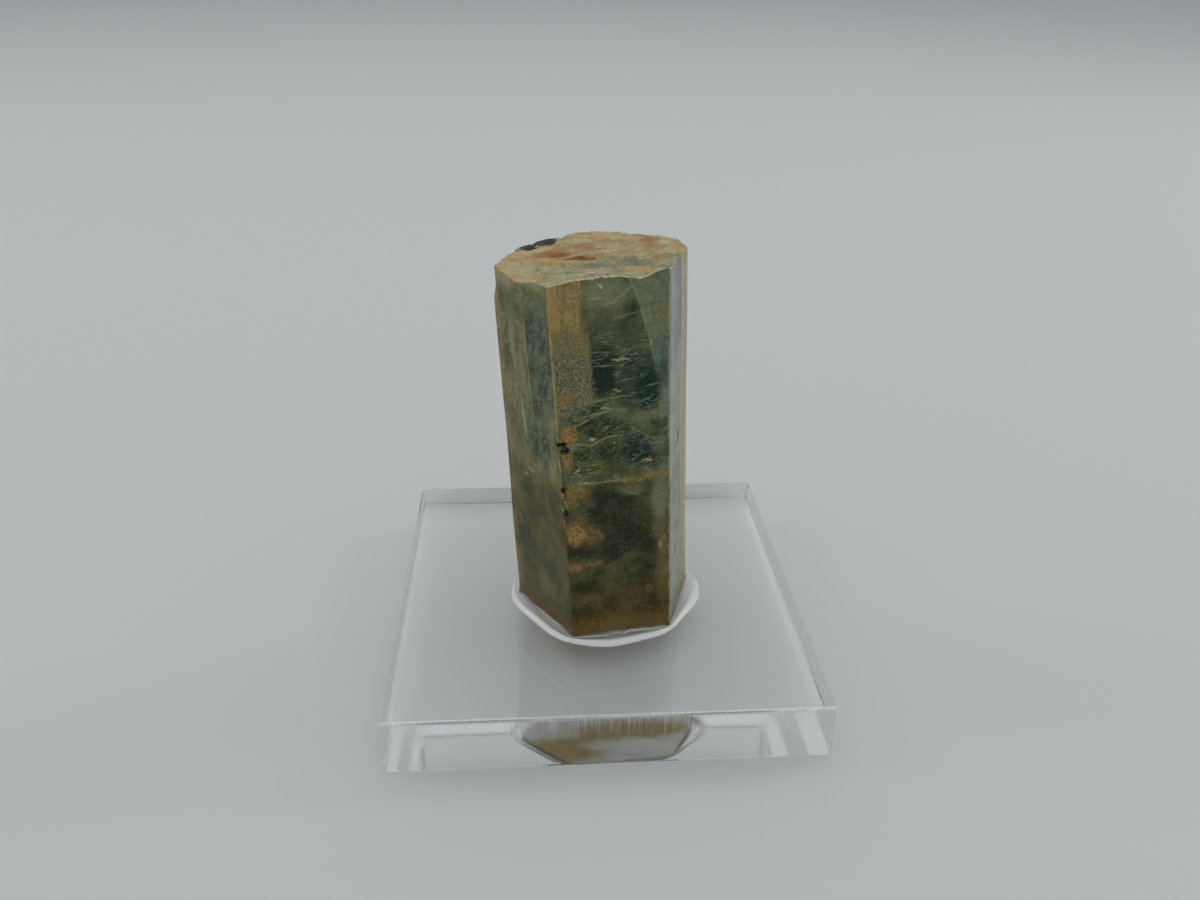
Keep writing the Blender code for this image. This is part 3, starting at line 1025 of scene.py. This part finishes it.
# %% Windows and veils of the front
# Every patch on the front: (x, height) of its middle, (half width, half height), strength.
WINDOWS = (
    ((0.1, 30.8), (1.5, 2.6), 1.0), ((4.3, 29.0), (1.4, 2.8), 1.0), ((3.2, 22.5), (1.6, 1.8), 1.0),
    ((3.3, 36.9), (0.5, 0.9), 0.5), ((2.7, 34.4), (1.6, 1.6), 0.5), ((0.6, 34.4), (1.9, 1.6), 0.5),
    ((3.5, 31.9), (1.3, 1.2), 0.7), ((2.3, 29.6), (1.6, 2.0), 0.7), ((-0.4, 25.2), (1.9, 1.6), 0.95),
    ((-0.4, 26.3), (1.7, 1.1), 0.85), ((0.8, 24.9), (2.0, 0.9), 0.8), ((-2.2, 25.4), (0.9, 0.7), 0.7),
    ((-2.2, 22.3), (1.0, 1.3), 0.65), ((0.2, 22.2), (1.5, 1.4), 0.8), ((5.9, 30.4), (0.45, 1.6), 0.5),
    ((-2.85, 20.6), (0.75, 0.45), 1.0))
OLIVE_WINDOWS = (
    ((0.6, 15.6), (2.6, 2.6), 0.9), ((1.2, 11.8), (3.0, 2.4), 0.9), ((2.8, 8.4), (1.8, 1.8), 0.8),
    ((-2.6, 10.9), (1.5, 0.6), 0.8), ((-3.4, 6.8), (1.2, 0.7), 0.6), ((0.4, 4.6), (1.6, 0.9), 0.8))
PALE_VEILS = (
    ((5.5, 16.6), (0.9, 2.4), 1.0), ((4.4, 25.9), (2.0, 0.55), 0.7), ((0.4, 38.4), (2.3, 1.3), 1.0),
    ((5.3, 12.9), (0.8, 1.2), 0.4), ((1.4, 26.6), (1.6, 0.5), 0.4), ((-4.0, 20.6), (0.5, 1.1), 0.6),
    ((2.6, 18.0), (1.5, 0.7), 0.55))
OLIVE_VEILS = (
    ((-0.8, 20.4), (2.8, 1.0), 1.0), ((2.4, 20.2), (2.2, 0.7), 0.4), ((-3.9, 20.0), (0.8, 0.9), 0.6))


def lay_windows(coat, at, grain):
    """Lay the windows and veils, and give back the mask of the sea green ones."""
    paint = coat.paint
    windows = front_patches(paint, at.ragged, WINDOWS)
    deep_green = paint.blend(at.rag_x.soft(0.6, 2.6), wall(26, 37, 29), wall(28, 41, 35))
    coat.lay(windows * grain.cloud.soft(1.05, 0.58), deep_green)
    gloom = front_patches(paint, at.ragged, OLIVE_WINDOWS)
    coat.lay(gloom * grain.cloud.soft(0.85, 0.42), wall(32, 34, 22))
    pale = front_patches(paint, at.ragged, PALE_VEILS)
    coat.lay(pale * grain.grit.soft(0.15, 0.55) * 0.85, wall(94, 97, 73))
    coat.lay(front_patches(paint, at.ragged, OLIVE_VEILS), wall(58, 59, 37))
    return windows


print(len(WINDOWS) + len(OLIVE_WINDOWS), "windows,", len(PALE_VEILS) + len(OLIVE_VEILS), "veils")

# %% [markdown]
# ### The front face: threads
#
# The healed cracks that cut the face end on show as thin bright lines. Most
# come from noise: a slow one for wisps, one that climbs steeply for the golden
# ones. The clearest lines are placed one by one, with a few bright flecks.

# %% Threads, streaks and flecks of the front
GOLDEN_ZONES = (((-0.6, 23.6), (3.2, 3.2), 1.0), ((1.6, 13.0), (2.4, 5.0), 0.25))
# Every streak: (x, height) of its middle, half length, climb in degrees, strength.
STREAKS = (
    ((-0.2, 38.0), 0.7, 0.0, 1.0), ((1.0, 37.5), 0.7, 24.0, 0.8), ((2.2, 38.3), 1.1, 38.0, 0.8),
    ((2.6, 36.3), 1.1, 12.0, 0.5), ((0.0, 32.8), 1.0, 0.0, 0.5), ((0.2, 31.45), 1.2, 0.0, 0.6),
    ((-0.5, 27.9), 1.2, 12.0, 0.8), ((1.5, 28.2), 1.1, 4.0, 0.7), ((-2.3, 25.6), 1.0, 24.0, 0.8),
    ((-0.3, 26.5), 1.3, 24.0, 0.8), ((-1.0, 26.5), 1.6, 12.0, 0.7), ((-2.2, 23.35), 1.1, -4.0, 0.7),
    ((-0.6, 23.6), 0.8, 24.0, 0.8), ((0.6, 23.95), 0.7, 12.0, 0.8), ((3.9, 21.1), 0.7, 24.0, 0.8),
    ((4.3, 20.9), 0.5, 24.0, 0.7), ((3.8, 24.1), 1.2, -34.0, 0.5), ((2.6, 17.5), 0.9, -24.0, 0.6),
    ((2.0, 19.2), 2.4, 4.0, 0.8), ((-1.6, 19.1), 1.6, -4.0, 0.8), ((4.9, 29.2), 0.6, 12.0, 0.6),
    ((2.2, 29.9), 0.9, 12.0, 0.5))
FLECKS = (
    ((1.9, 32.05), (0.9, 0.12), 0.50), ((1.4, 28.9), (0.45, 0.12), 0.45), ((-1.2, 23.9), (0.32, 0.18), 0.6),
    ((0.9, 23.2), (0.14, 0.14), 0.7), ((0.2, 27.0), (0.3, 0.12), 0.4), ((4.2, 21.2), (0.5, 0.09), 0.6),
    ((-1.9, 19.1), (0.18, 0.12), 1.0), ((-2.8, 20.6), (0.20, 0.14), 0.9), ((0.15, 39.15), (0.18, 0.16), 1.0),
    ((5.4, 11.0), (0.14, 0.5), 0.5))


def lay_threads(coat, at, grain, windows):
    paint = coat.paint
    wisps = threads(paint, paint.celled(at.loose, (2.2, 2.2, 0.36), tilted(10.0)), 1.0, 0.036, 4.0)
    patchy = paint.grain(at.upright, 0.42, 2.0).soft(0.44, 0.60)
    wisps = wisps * patchy * at.rag_z.soft(36.5, 33.0).most(0.3)
    wisps = wisps * (0.2 + 0.8 * grain.above_band) * (1.0 - 0.25 * windows)
    coat.lay(wisps * 0.65, wall(108, 116, 92))
    golden = threads(paint, paint.celled(at.loose, (1.0, 1.0, 0.42), tilted(26.0)), 1.0, 0.028, 4.0)
    golden = golden * front_patches(paint, at.upright, GOLDEN_ZONES)
    coat.lay(golden * 0.55, wall(104, 100, 62))
    coat.lay(grain.level.soft(0.60, 0.76) * grain.above_band * 0.45, wall(104, 108, 82))
    coat.lay(front_streaks(paint, at, STREAKS) * 0.72, wall(116, 118, 88))
    coat.lay(front_patches(paint, at.ragged, FLECKS), wall(150, 142, 106))


print(len(STREAKS), "streaks and", len(FLECKS), "flecks placed by hand")

# %% [markdown]
# ### The front face: the ochre strip
#
# Down the left edge runs a strip of ochre, which breaks up into a pale net
# lower down. The net is the border between the cells of a Voronoi pattern,
# squeezed upright, and the strip has a close upright grain.

# %% Ochre strip and pale net
STRIP_EDGE, NET_EDGE = -1.55, -0.85


def lay_strip(coat, at, grain):
    paint = coat.paint
    strip = (at.x + grain.wander).soft(STRIP_EDGE, STRIP_EDGE - 0.2) * at.rag_z.soft(32.6, 35.6)
    streaky = (grain.upright * 0.4 + grain.grit * 0.6).soft(0.36, 0.62)
    ochre = paint.blend(streaky, wall(88, 79, 48), wall(120, 106, 68))
    ochre = paint.blend(at.x.soft(-3.5, -4.2) * 0.6, ochre, wall(132, 108, 66))
    coat.lay(strip * 0.92, ochre)
    foot = at.rag_z - 26.0 - (at.rag_x + 3.6) * 0.65
    zone = (at.x + grain.wander).soft(NET_EDGE, NET_EDGE - 0.4) * foot.soft(-0.5, 0.9)
    zone = zone * at.rag_z.soft(35.8, 34.0)
    web = net(paint, paint.celled(at.shaky, (0.33, 0.33, 0.19)), 1.0, 0.30) * grain.grit.soft(0.22, 0.60)
    web_tone = paint.blend(web, wall(56, 57, 42), wall(106, 103, 78))
    web_tone = paint.blend(at.rag_z.soft(30.5, 34.5) * 0.55, web_tone, wall(98, 87, 54))
    coat.lay(zone * 0.92, web_tone)

# %% [markdown]
# ### The front face: dust, stains and foot
#
# Olive ochre dust lies along the healed crack and the right edge, and rust
# stains sit where iron came in. The foot is brown, with ochre along its lowest
# edge. Pale specks and a close weave of fine lines finish the face.

# %% Dust, stains and foot of the front
DUSTY = (
    ((-3.2, 18.3), (1.4, 0.7), 0.8), ((-3.7, 17.1), (0.7, 0.9), 0.8), ((4.9, 19.4), (1.7, 0.42), 1.0),
    ((2.7, 19.0), (1.8, 0.30), 1.0), ((-2.8, 19.0), (1.6, 0.22), 0.8), ((-1.6, 12.9), (1.0, 0.9), 0.6),
    ((5.7, 36.3), (0.9, 0.6), 0.7), ((5.9, 6.5), (1.0, 6.5), 0.55), ((5.9, 11.2), (0.5, 1.4), 0.7),
    ((-1.7, 9.5), (1.1, 0.45), 0.6), ((-2.2, 5.0), (1.1, 0.9), 0.6), ((3.2, 4.4), (0.9, 0.6), 0.6),
    ((4.2, 5.7), (0.6, 0.6), 0.8))
RAGGED_STAINS = (
    ((-3.35, 24.5), (0.75, 1.0), 0.9), ((-3.65, 22.1), (0.45, 1.2), 0.95), ((-3.75, 28.2), (0.6, 0.7), 0.6),
    ((-3.6, 9.2), (0.7, 0.6), 0.6), ((-2.8, 2.4), (1.2, 0.7), 0.35))
ROUND_STAINS = (((-3.35, 13.25), (0.95, 1.30), 1.0),)


def lay_stains(coat, at, grain):
    paint = coat.paint
    rusty = grain.rust.soft(0.36, 0.64)
    dust = paint.blend(rusty, wall(78, 67, 38), wall(114, 100, 60))
    coat.lay(front_patches(paint, at.ragged, DUSTY) * grain.grit.soft(0.15, 0.45) * 0.85, dust)
    stains = front_patches(paint, at.ragged, RAGGED_STAINS)
    stains = stains.most(front_patches(paint, at.shaky, ROUND_STAINS))
    coat.lay(stains * grain.rust.soft(0.05, 0.35) * 0.92,
             paint.blend(rusty, wall(88, 66, 36), wall(132, 104, 62)))


def lay_foot(coat, at, grain):
    mottle = (grain.cloud * 0.5 + grain.grit * 0.5).soft(0.40, 0.60)
    brown = coat.paint.blend(mottle, wall(48, 41, 25), wall(78, 66, 40))
    coat.lay(at.rag_z.soft(8.6, 3.0) * 0.80, brown)
    coat.lay(at.rag_z.soft(3.6, 1.6) * grain.rust.soft(0.30, 0.60) * 0.7, wall(92, 73, 40))


def front_colour(paint, at):
    grain = FrontGrain(paint, at)
    coat = front_body(paint, grain)
    lay_bowed_crack(coat, at, grain)
    windows = lay_windows(coat, at, grain)
    lay_threads(coat, at, grain, windows)
    lay_strip(coat, at, grain)
    lay_stains(coat, at, grain)
    lay_foot(coat, at, grain)
    specks = paint.grain(at.upright, 4.2, 1.0).soft(0.66, 0.76)
    coat.lay(specks * 0.34, wall(120, 118, 88))
    return paint.shade(coat.colour, 0.32 + 0.34 * grain.upright + 0.50 * grain.level + 0.52 * grain.grit)


print(len(DUSTY), "dusty places,", len(RAGGED_STAINS) + len(ROUND_STAINS), "stains")

# %% [markdown]
# ### The left face
#
# This face is paler and hazier than the front, with one blue grey slab inside
# it. The slab's near side is a plane, so its edge is a straight line that only
# wavers a little. Tan and ochre come in from the corners.

# %% Colours of the left face
# Every patch on the left face: (y, height) of its middle, (half width, half height), strength.
SLAB_BLOTS = (
    ((-7.7, 22.8), (1.9, 2.9), 1.0), ((-8.6, 26.0), (1.5, 2.6), 1.0), ((-8.9, 20.8), (1.0, 1.8), 0.9))
SLAB_EDGE = -7.45
LEFT_DARKS = (
    ((-7.6, 6.9), (0.8, 1.2), 0.7), ((-4.0, 8.8), (1.3, 1.7), 0.8), ((-3.8, 30.2), (1.0, 1.7), 0.5),
    ((-8.7, 22.8), (0.8, 1.6), 0.9), ((-5.4, 12.8), (1.2, 1.4), 0.4), ((-3.5, 22.2), (1.4, 2.8), 0.45),
    ((-6.9, 22.2), (1.2, 2.0), 0.5))
LEFT_PALES = (
    ((-5.75, 24.2), (0.24, 2.2), 0.8), ((-9.9, 25.4), (0.9, 1.4), 0.55), ((-6.5, 30.0), (0.3, 2.6), 0.4),
    ((-5.3, 31.0), (0.35, 1.8), 0.35), ((-6.2, 18.6), (0.5, 0.35), 0.6), ((-5.2, 17.6), (0.4, 0.3), 0.6),
    ((-9.0, 39.0), (1.9, 0.7), 0.7), ((-5.0, 38.6), (1.8, 1.0), 0.6), ((-9.6, 20.4), (0.8, 1.6), 0.5))
LEFT_OCHRES = (
    ((-2.9, 35.8), (0.7, 1.3), 0.9), ((-9.8, 18.9), (1.2, 0.9), 0.5), ((-6.5, 19.3), (2.6, 0.5), 0.3),
    ((-3.4, 23.0), (1.3, 3.4), 0.3))


def tipped(degrees_back):
    """Turn for a pattern on the left face that leans towards the back."""
    return (radians(degrees_back), 0.0, 0.0)


def lay_slab(coat, at, cloud, slant):
    paint = coat.paint
    beside = at.y - SLAB_EDGE - (slant - 0.5) * 0.5
    slab = beside.soft(0.09, -0.09) * (at.rag_z + (at.y + 11.0) * 0.2).soft(25.6, 27.6)
    slab = slab * at.rag_z.soft(39.3, 37.6)
    slab = slab.most(left_patches(paint, at.ragged, SLAB_BLOTS))
    mottle = (slant * 0.5 + cloud * 0.5).soft(0.38, 0.60)
    blue_grey = paint.blend(mottle, flank(46, 55, 47), flank(74, 81, 68))
    blue_grey = paint.blend(at.rag_z.soft(34.6, 37.6) * 0.8, blue_grey, flank(80, 82, 62))
    coat.lay(slab * 0.95, blue_grey)
    coat.lay(left_patches(paint, at.ragged, LEFT_DARKS), flank(50, 54, 42))
    seam = (beside - 0.10).line(0.16) * at.z.soft(26.0, 29.0) * at.z.soft(37.0, 34.0)
    coat.lay(seam * 0.35, flank(118, 120, 96))


def left_colour(paint, at):
    cloud = paint.grain(at.loose, 0.30, 5.0, 0.6)
    slant = paint.grain(paint.celled(at.loose, (1.0, 1.0, 2.4), tipped(20.0)), 1.0, 4.0, 0.6)
    above_band = at.rag_z.soft(17.8, 20.2)
    mottle = (cloud * 0.7 + slant * 0.3).soft(0.38, 0.62)
    above = paint.blend(mottle, flank(76, 75, 51), flank(100, 97, 71))
    below = paint.blend(mottle, flank(60, 59, 40), flank(82, 77, 53))
    coat = Coat(paint, paint.blend(above_band, below, above))
    lay_slab(coat, at, cloud, slant)
    coat.lay(left_patches(paint, at.ragged, LEFT_PALES), flank(120, 116, 88))
    rim = at.past_a.soft(-1.5, -0.1) * paint.grain(at.loose, 0.3, 3.0).soft(0.34, 0.52)
    coat.lay(rim * 0.80, flank(102, 86, 53))
    coat.lay(left_patches(paint, at.ragged, LEFT_OCHRES), flank(114, 95, 57))
    coat.lay(at.rag_z.soft(2.6, 1.0) * 0.75, flank(84, 68, 38))
    hatch = threads(paint, paint.celled(at.loose, (1.3, 1.3, 1.7), tipped(24.0)), 1.0, 0.035, 4.0)
    coat.lay(hatch * above_band * 0.30, flank(118, 120, 98))
    weave = paint.grain(paint.celled(at.upright, (0.30, 0.30, 2.4)), 1.0, 3.0)
    grit = paint.grain(at.upright, 3.4, 4.0, 0.72)
    return paint.shade(coat.colour, 0.36 + 0.64 * weave + 0.64 * grit)


print(len(LEFT_DARKS + LEFT_PALES + LEFT_OCHRES), "patches on the left face")

# %% [markdown]
# ### The other faces
#
# The faces at the back get the same matter, with its clouds and stains set by
# noise alone. The right face has a greyer slab in front, a dark seam, and a tan
# strip up to its far edge.

# %% Colours of the right face and the back
SEAM_Y = -3.95


def lay_right_face(coat, at, cloud):
    paint = coat.paint
    side = at.on_right * (at.past_d + (cloud - 0.5) * 2.5).soft(1.2, 0.2)
    grit = paint.grain(at.upright, 2.4, 4.0, 0.72)
    slab = paint.blend(cloud.soft(0.40, 0.62), wall(84, 89, 82), wall(102, 105, 98))
    coat.lay(at.y.soft(-3.9, -4.5) * side * 0.8, slab)
    strip = paint.blend(grit.soft(0.36, 0.64), wall(96, 87, 58), wall(132, 116, 80))
    coat.lay(at.y.soft(-4.2, -3.7) * side * 0.85, strip)
    coat.lay((at.y - SEAM_Y).line(0.16) * side * 0.8, wall(40, 34, 22))
    coat.lay((at.y + 4.4).line(0.9) * at.rag_z.soft(7.5, 5.0) * side * 0.7, wall(104, 78, 62))


def other_colour(paint, at):
    cloud = paint.grain(at.loose, 0.22, 5.0, 0.62)
    coat = Coat(paint, paint.blend(cloud.soft(0.36, 0.66), wall(46, 54, 41), wall(94, 93, 68)))
    stain = paint.grain(paint.celled(at.loose, (3.4, 3.4, 5.0)), 1.0, 4.0, 0.6)
    coat.lay(stain.soft(0.54, 0.68) * 0.7, wall(110, 88, 54))
    wisps = threads(paint, paint.celled(at.loose, (2.4, 2.4, 0.6)), 1.0, 0.03) * cloud.soft(0.46, 0.60)
    coat.lay(wisps * 0.45, wall(112, 114, 90))
    lay_right_face(coat, at, cloud)
    coat.lay(at.rag_z.soft(4.5, 1.6) * 0.7, wall(82, 66, 38))
    return coat.colour

# %% [markdown]
# ### The natural end
#
# The top was never polished. It is coarse, cream and tan, with rust in its
# hollows, and a lower ledge along the front is paler and greener, with a painted
# highlight along its chipped front rim.

# %% Colours of the end
# Every patch on the end: (x, y) of its middle, (half width, half depth), strength.
GREEN_GREYS = (
    ((0.8, -4.4), (1.9, 0.9), 0.7), ((3.6, -4.4), (1.9, 0.8), 0.6), ((-3.0, -6.4), (1.6, 0.5), 0.5))
CREAMS = (
    ((-8.0, -7.0), (0.7, 0.40), 0.8), ((-6.2, -8.0), (0.8, 0.5), 0.8), ((0.0, -7.4), (1.2, 0.4), 0.6),
    ((-1.8, -6.9), (1.2, 0.3), 0.4), ((7.4, 1.0), (1.0, 1.6), 0.5))
OCHRES = (
    ((-7.6, -5.8), (0.7, 0.5), 0.8), ((-5.6, -6.6), (0.8, 0.6), 0.8), ((4.3, -6.5), (1.1, 0.4), 0.9),
    ((6.1, -3.4), (0.5, 1.1), 0.5), ((-3.8, -3.3), (1.9, 0.7), 0.6), ((0.8, 5.2), (0.9, 1.5), 0.6),
    ((-9.2, -3.4), (0.9, 0.8), 0.5), ((-6.5, -0.5), (2.2, 1.0), 0.4))
RUSTS = (
    ((-3.9, -0.4), (1.9, 1.1), 0.9), ((-2.9, 1.1), (0.9, 1.1), 0.7), ((-1.3, -2.1), (1.9, 0.7), 0.9),
    ((-0.4, 1.6), (0.7, 1.5), 0.6), ((0.7, 0.6), (0.4, 0.4), 0.7), ((5.9, 2.9), (0.9, 1.3), 0.6),
    ((6.3, 0.4), (1.6, 0.8), 0.6), ((3.4, -1.2), (4.2, 0.35), 0.5))
DEEP_RUSTS = (
    ((-1.3, -2.1), (1.2, 0.55), 1.0), ((-3.2, -0.7), (1.0, 0.7), 0.7), ((-0.3, -1.7), (0.6, 0.5), 0.6))


def ledge_mask(paint, at):
    """1 on the ledge: its back edge bends forward at the left, and the plateau juts into it once."""
    shoulder = (-5.0 - at.x).most(0.0) * 0.27
    ledge = (at.rag_y - shoulder).soft(-2.2, -2.9)
    return ledge * (1.0 - paint.blotch(at.ragged, (-2.6, -2.9, END_HEIGHT), (1.9, 0.75, END_REACH)))


def end_colour(paint, at):
    coarse = paint.grain(at.place, 0.50, 5.0, 0.65)
    fine = paint.grain(at.place, 2.6, 5.0, 0.72)
    broken = paint.shaken(at.ragged, 0.9, 0.55, 3.0)
    coat = Coat(paint, paint.blend(coarse.soft(0.34, 0.64), end(132, 114, 80), end(160, 146, 110)))
    ledge = ledge_mask(paint, at)
    pale = paint.blend((coarse * 0.6 + fine * 0.4).soft(0.42, 0.58), end(118, 115, 89), end(148, 140, 108))
    coat.lay(ledge, paint.blend(at.rag_x.soft(-4.5, -7.0), pale, end(152, 143, 110)))
    coat.lay(end_patches(paint, broken, GREEN_GREYS), end(98, 103, 82))
    # Painted highlight: a pale line where the ledge's chipped front rim catches the light.
    rim_highlight = depth_behind(paint, at.place, "front").soft(0.75, 0.2) * ledge
    coat.lay(rim_highlight * fine.soft(0.35, 0.55) * 0.8, end(178, 168, 136))
    coat.lay(end_patches(paint, broken, CREAMS), end(166, 158, 128))
    coat.lay(end_patches(paint, broken, OCHRES) * 0.8, end(166, 122, 70))
    rust = end_patches(paint, broken, RUSTS) * (coarse * 0.4 + fine * 0.6).soft(0.26, 0.54)
    coat.lay(rust, end(134, 90, 40))
    coat.lay(end_patches(paint, broken, DEEP_RUSTS) * fine.soft(0.10, 0.40) * 0.9, end(92, 56, 24))
    return paint.shade(coat.colour, 0.36 + 1.28 * fine)


print(len(CREAMS + OCHRES), "pale and ochre spots,", len(RUSTS + DEEP_RUSTS), "of rust")

# %% [markdown]
# ### Grains, pits, worn and highlit edges, and the sole in painted light
#
# Small things go on last. Dark grains sit on the broken back corner, and pits
# along the front's edges are painted near black. The upright edges are rubbed
# pale where wear broke them, and carry a painted highlight where they catch the
# light. The sole is seen through the clear base. It is painted a pale cream with
# a ragged olive brown stain, far lighter than the walls: painted light, because
# hardly any light reaches it. The lowest band of the walls, under the glue, gets
# the same lightened colour.

# %% Grains, pits, edges and sole
# Middle and half size of each dark grain on the rim, and of each pit along the worn edges.
GRAINS = (
    ((-7.25, 3.5, 38.8), (0.95, 1.50, 1.40)), ((-6.3, 4.9, 38.9), (0.60, 1.40, 1.10)),
    ((-5.3, 5.4, 38.8), (0.98, 1.90, 1.40)),
)
PITS = (
    ((-4.42, -10.6, 23.55), (0.60, 0.60, 0.34)), ((-4.00, -10.6, 22.95), (0.46, 0.60, 0.38)),
    ((-4.20, -10.7, 18.6), (0.26, 0.50, 0.42)), ((-4.00, -10.7, 15.9), (0.24, 0.50, 0.34)),
    ((7.95, -4.75, 21.5), (0.40, 0.26, 0.70)),
)
BROWN_SOLE = (
    ((-4.6, -6.9, 0.0), (5.0, 3.4, 3.0), 1.0), ((3.5, -2.0, 0.0), (6.6, 2.3, 3.0), 1.0),
    ((-0.6, -4.6, 0.0), (3.0, 2.2, 3.0), 1.0))
PALE_SOLE = ((3.0, -6.1, 0.0), (4.9, 1.9, 3.0))


def spots(paint, vector, places, edge):
    return paint.most_of(vector, [(centre, size, 1.0) for centre, size in places], edge)


# Pale lines down the front's upright edges: partly wear, partly a painted highlight where the edges catch the
# light.
def lay_worn_and_highlit_edges(coat, at, chips):
    wear_and_highlight = coat.paint.grain(at.place, 0.9, 4.0, 0.65)
    broken = chips - 0.5
    left_edge = (at.past_b + broken * 0.5).soft(-0.10, 0.02) * (at.past_b + broken * 0.6).soft(0.34, 0.12)
    facing_front = at.y.soft(-2.0, -4.0)
    worn_and_highlit = (wear_and_highlight.soft(0.46, 0.58) * at.z.soft(6.0, 26.0)).most(at.z.soft(25.0, 27.0) * 0.75)
    coat.lay(left_edge * facing_front * worn_and_highlit * 0.85, wall(134, 112, 72))
    right_edge = abs(at.past_c).soft(0.22, 0.0) * facing_front * wear_and_highlight.soft(0.40, 0.56)
    coat.lay(right_edge * 0.7, wall(118, 112, 84))


# Painted light: the sole's colours are far paler than the stone's, standing in for light that hardly reaches
# under the stone; the olive brown stain and a pale patch lie over them.
def painted_light_sole_colour(paint, at, chips):
    smear = paint.grain(at.place, 0.45, 5.0, 0.65)
    coat = Coat(paint, paint.blend(smear.soft(0.40, 0.62), (0.72, 0.70, 0.60), (0.92, 0.92, 0.88)))
    torn = paint.shaken(at.place, 0.8, 1.6, 4.0)
    brown = paint.blend(chips.soft(0.38, 0.64), (0.34, 0.20, 0.005), (0.58, 0.41, 0.04))
    coat.lay(paint.most_of(torn, BROWN_SOLE, 0.35) * smear.soft(0.10, 0.35), brown)
    coat.lay(paint.blotch(torn, *PALE_SOLE, 0.35) * chips.soft(0.30, 0.55) * 0.95, (0.98, 0.97, 0.93))
    return coat.colour


print(len(GRAINS), "dark grains and", len(PITS), "pits")

# %% [markdown]
# ### Putting the stone together
#
# The faces are blended by their masks, then come the small things. The polish
# is sharp on the windows and dull where the stone is broken, and a low bump
# gives the faces their upright growth lines. Beryl bends light by 1.57, but
# faces as worn as these mirror less than cut ones, so a smaller value keeps
# their gloss low.

# %% Finish of the stone
STONE_BEND = 1.32


def beryl_colour(paint, at, pit):
    chips = paint.grain(at.place, 2.2, 4.0, 0.7)
    coat = Coat(paint, front_colour(paint, at))
    coat.lay(at.on_left, left_colour(paint, at))
    coat.lay(at.on_right.most(at.on_left_back), other_colour(paint, at))
    lay_worn_and_highlit_edges(coat, at, chips)
    coat.lay(at.end, end_colour(paint, at))
    coat.lay(spots(paint, at.place, GRAINS, 0.15), end(56, 55, 52))
    # The pits are painted near black.
    coat.lay(pit, wall(18, 15, 10))
    # Painted light: the sole and the foot band under the glue take the lightened sole colour.
    coat.lay(at.under, painted_light_sole_colour(paint, at, chips))
    return coat.colour


def beryl():
    paint = Paint("beryl")
    at = StonePlaces(paint)
    pit = spots(paint, at.ragged_pits, PITS, 0.30)
    colour = beryl_colour(paint, at, pit)
    scratches = paint.grain(paint.celled(at.place, (1.0, 1.0, 0.22)), 1.0, 4.0, 0.7)
    roughness = paint.mixed(at.end.most(at.under), 0.10 + 0.22 * scratches, 0.62)
    growth = paint.grain(paint.celled(at.upright, (0.36, 0.36, 14.0)), 1.0, 3.0)
    rough = paint.grain(at.place, 3.0, 4.0, 0.7)
    height = growth * 0.4 + scratches * 0.3 + at.end * rough * 4.0 - pit * 1.5
    return paint.finish({
        "Base Color": colour, "Roughness": roughness, "IOR": STONE_BEND,
        "Normal": paint.bump(height, 0.5, 0.08 * MM)})


stone.data.materials.append(beryl())
opaque_parts.objects.link(stone)
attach(stone, "root")
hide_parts("aquamarine_crystal")
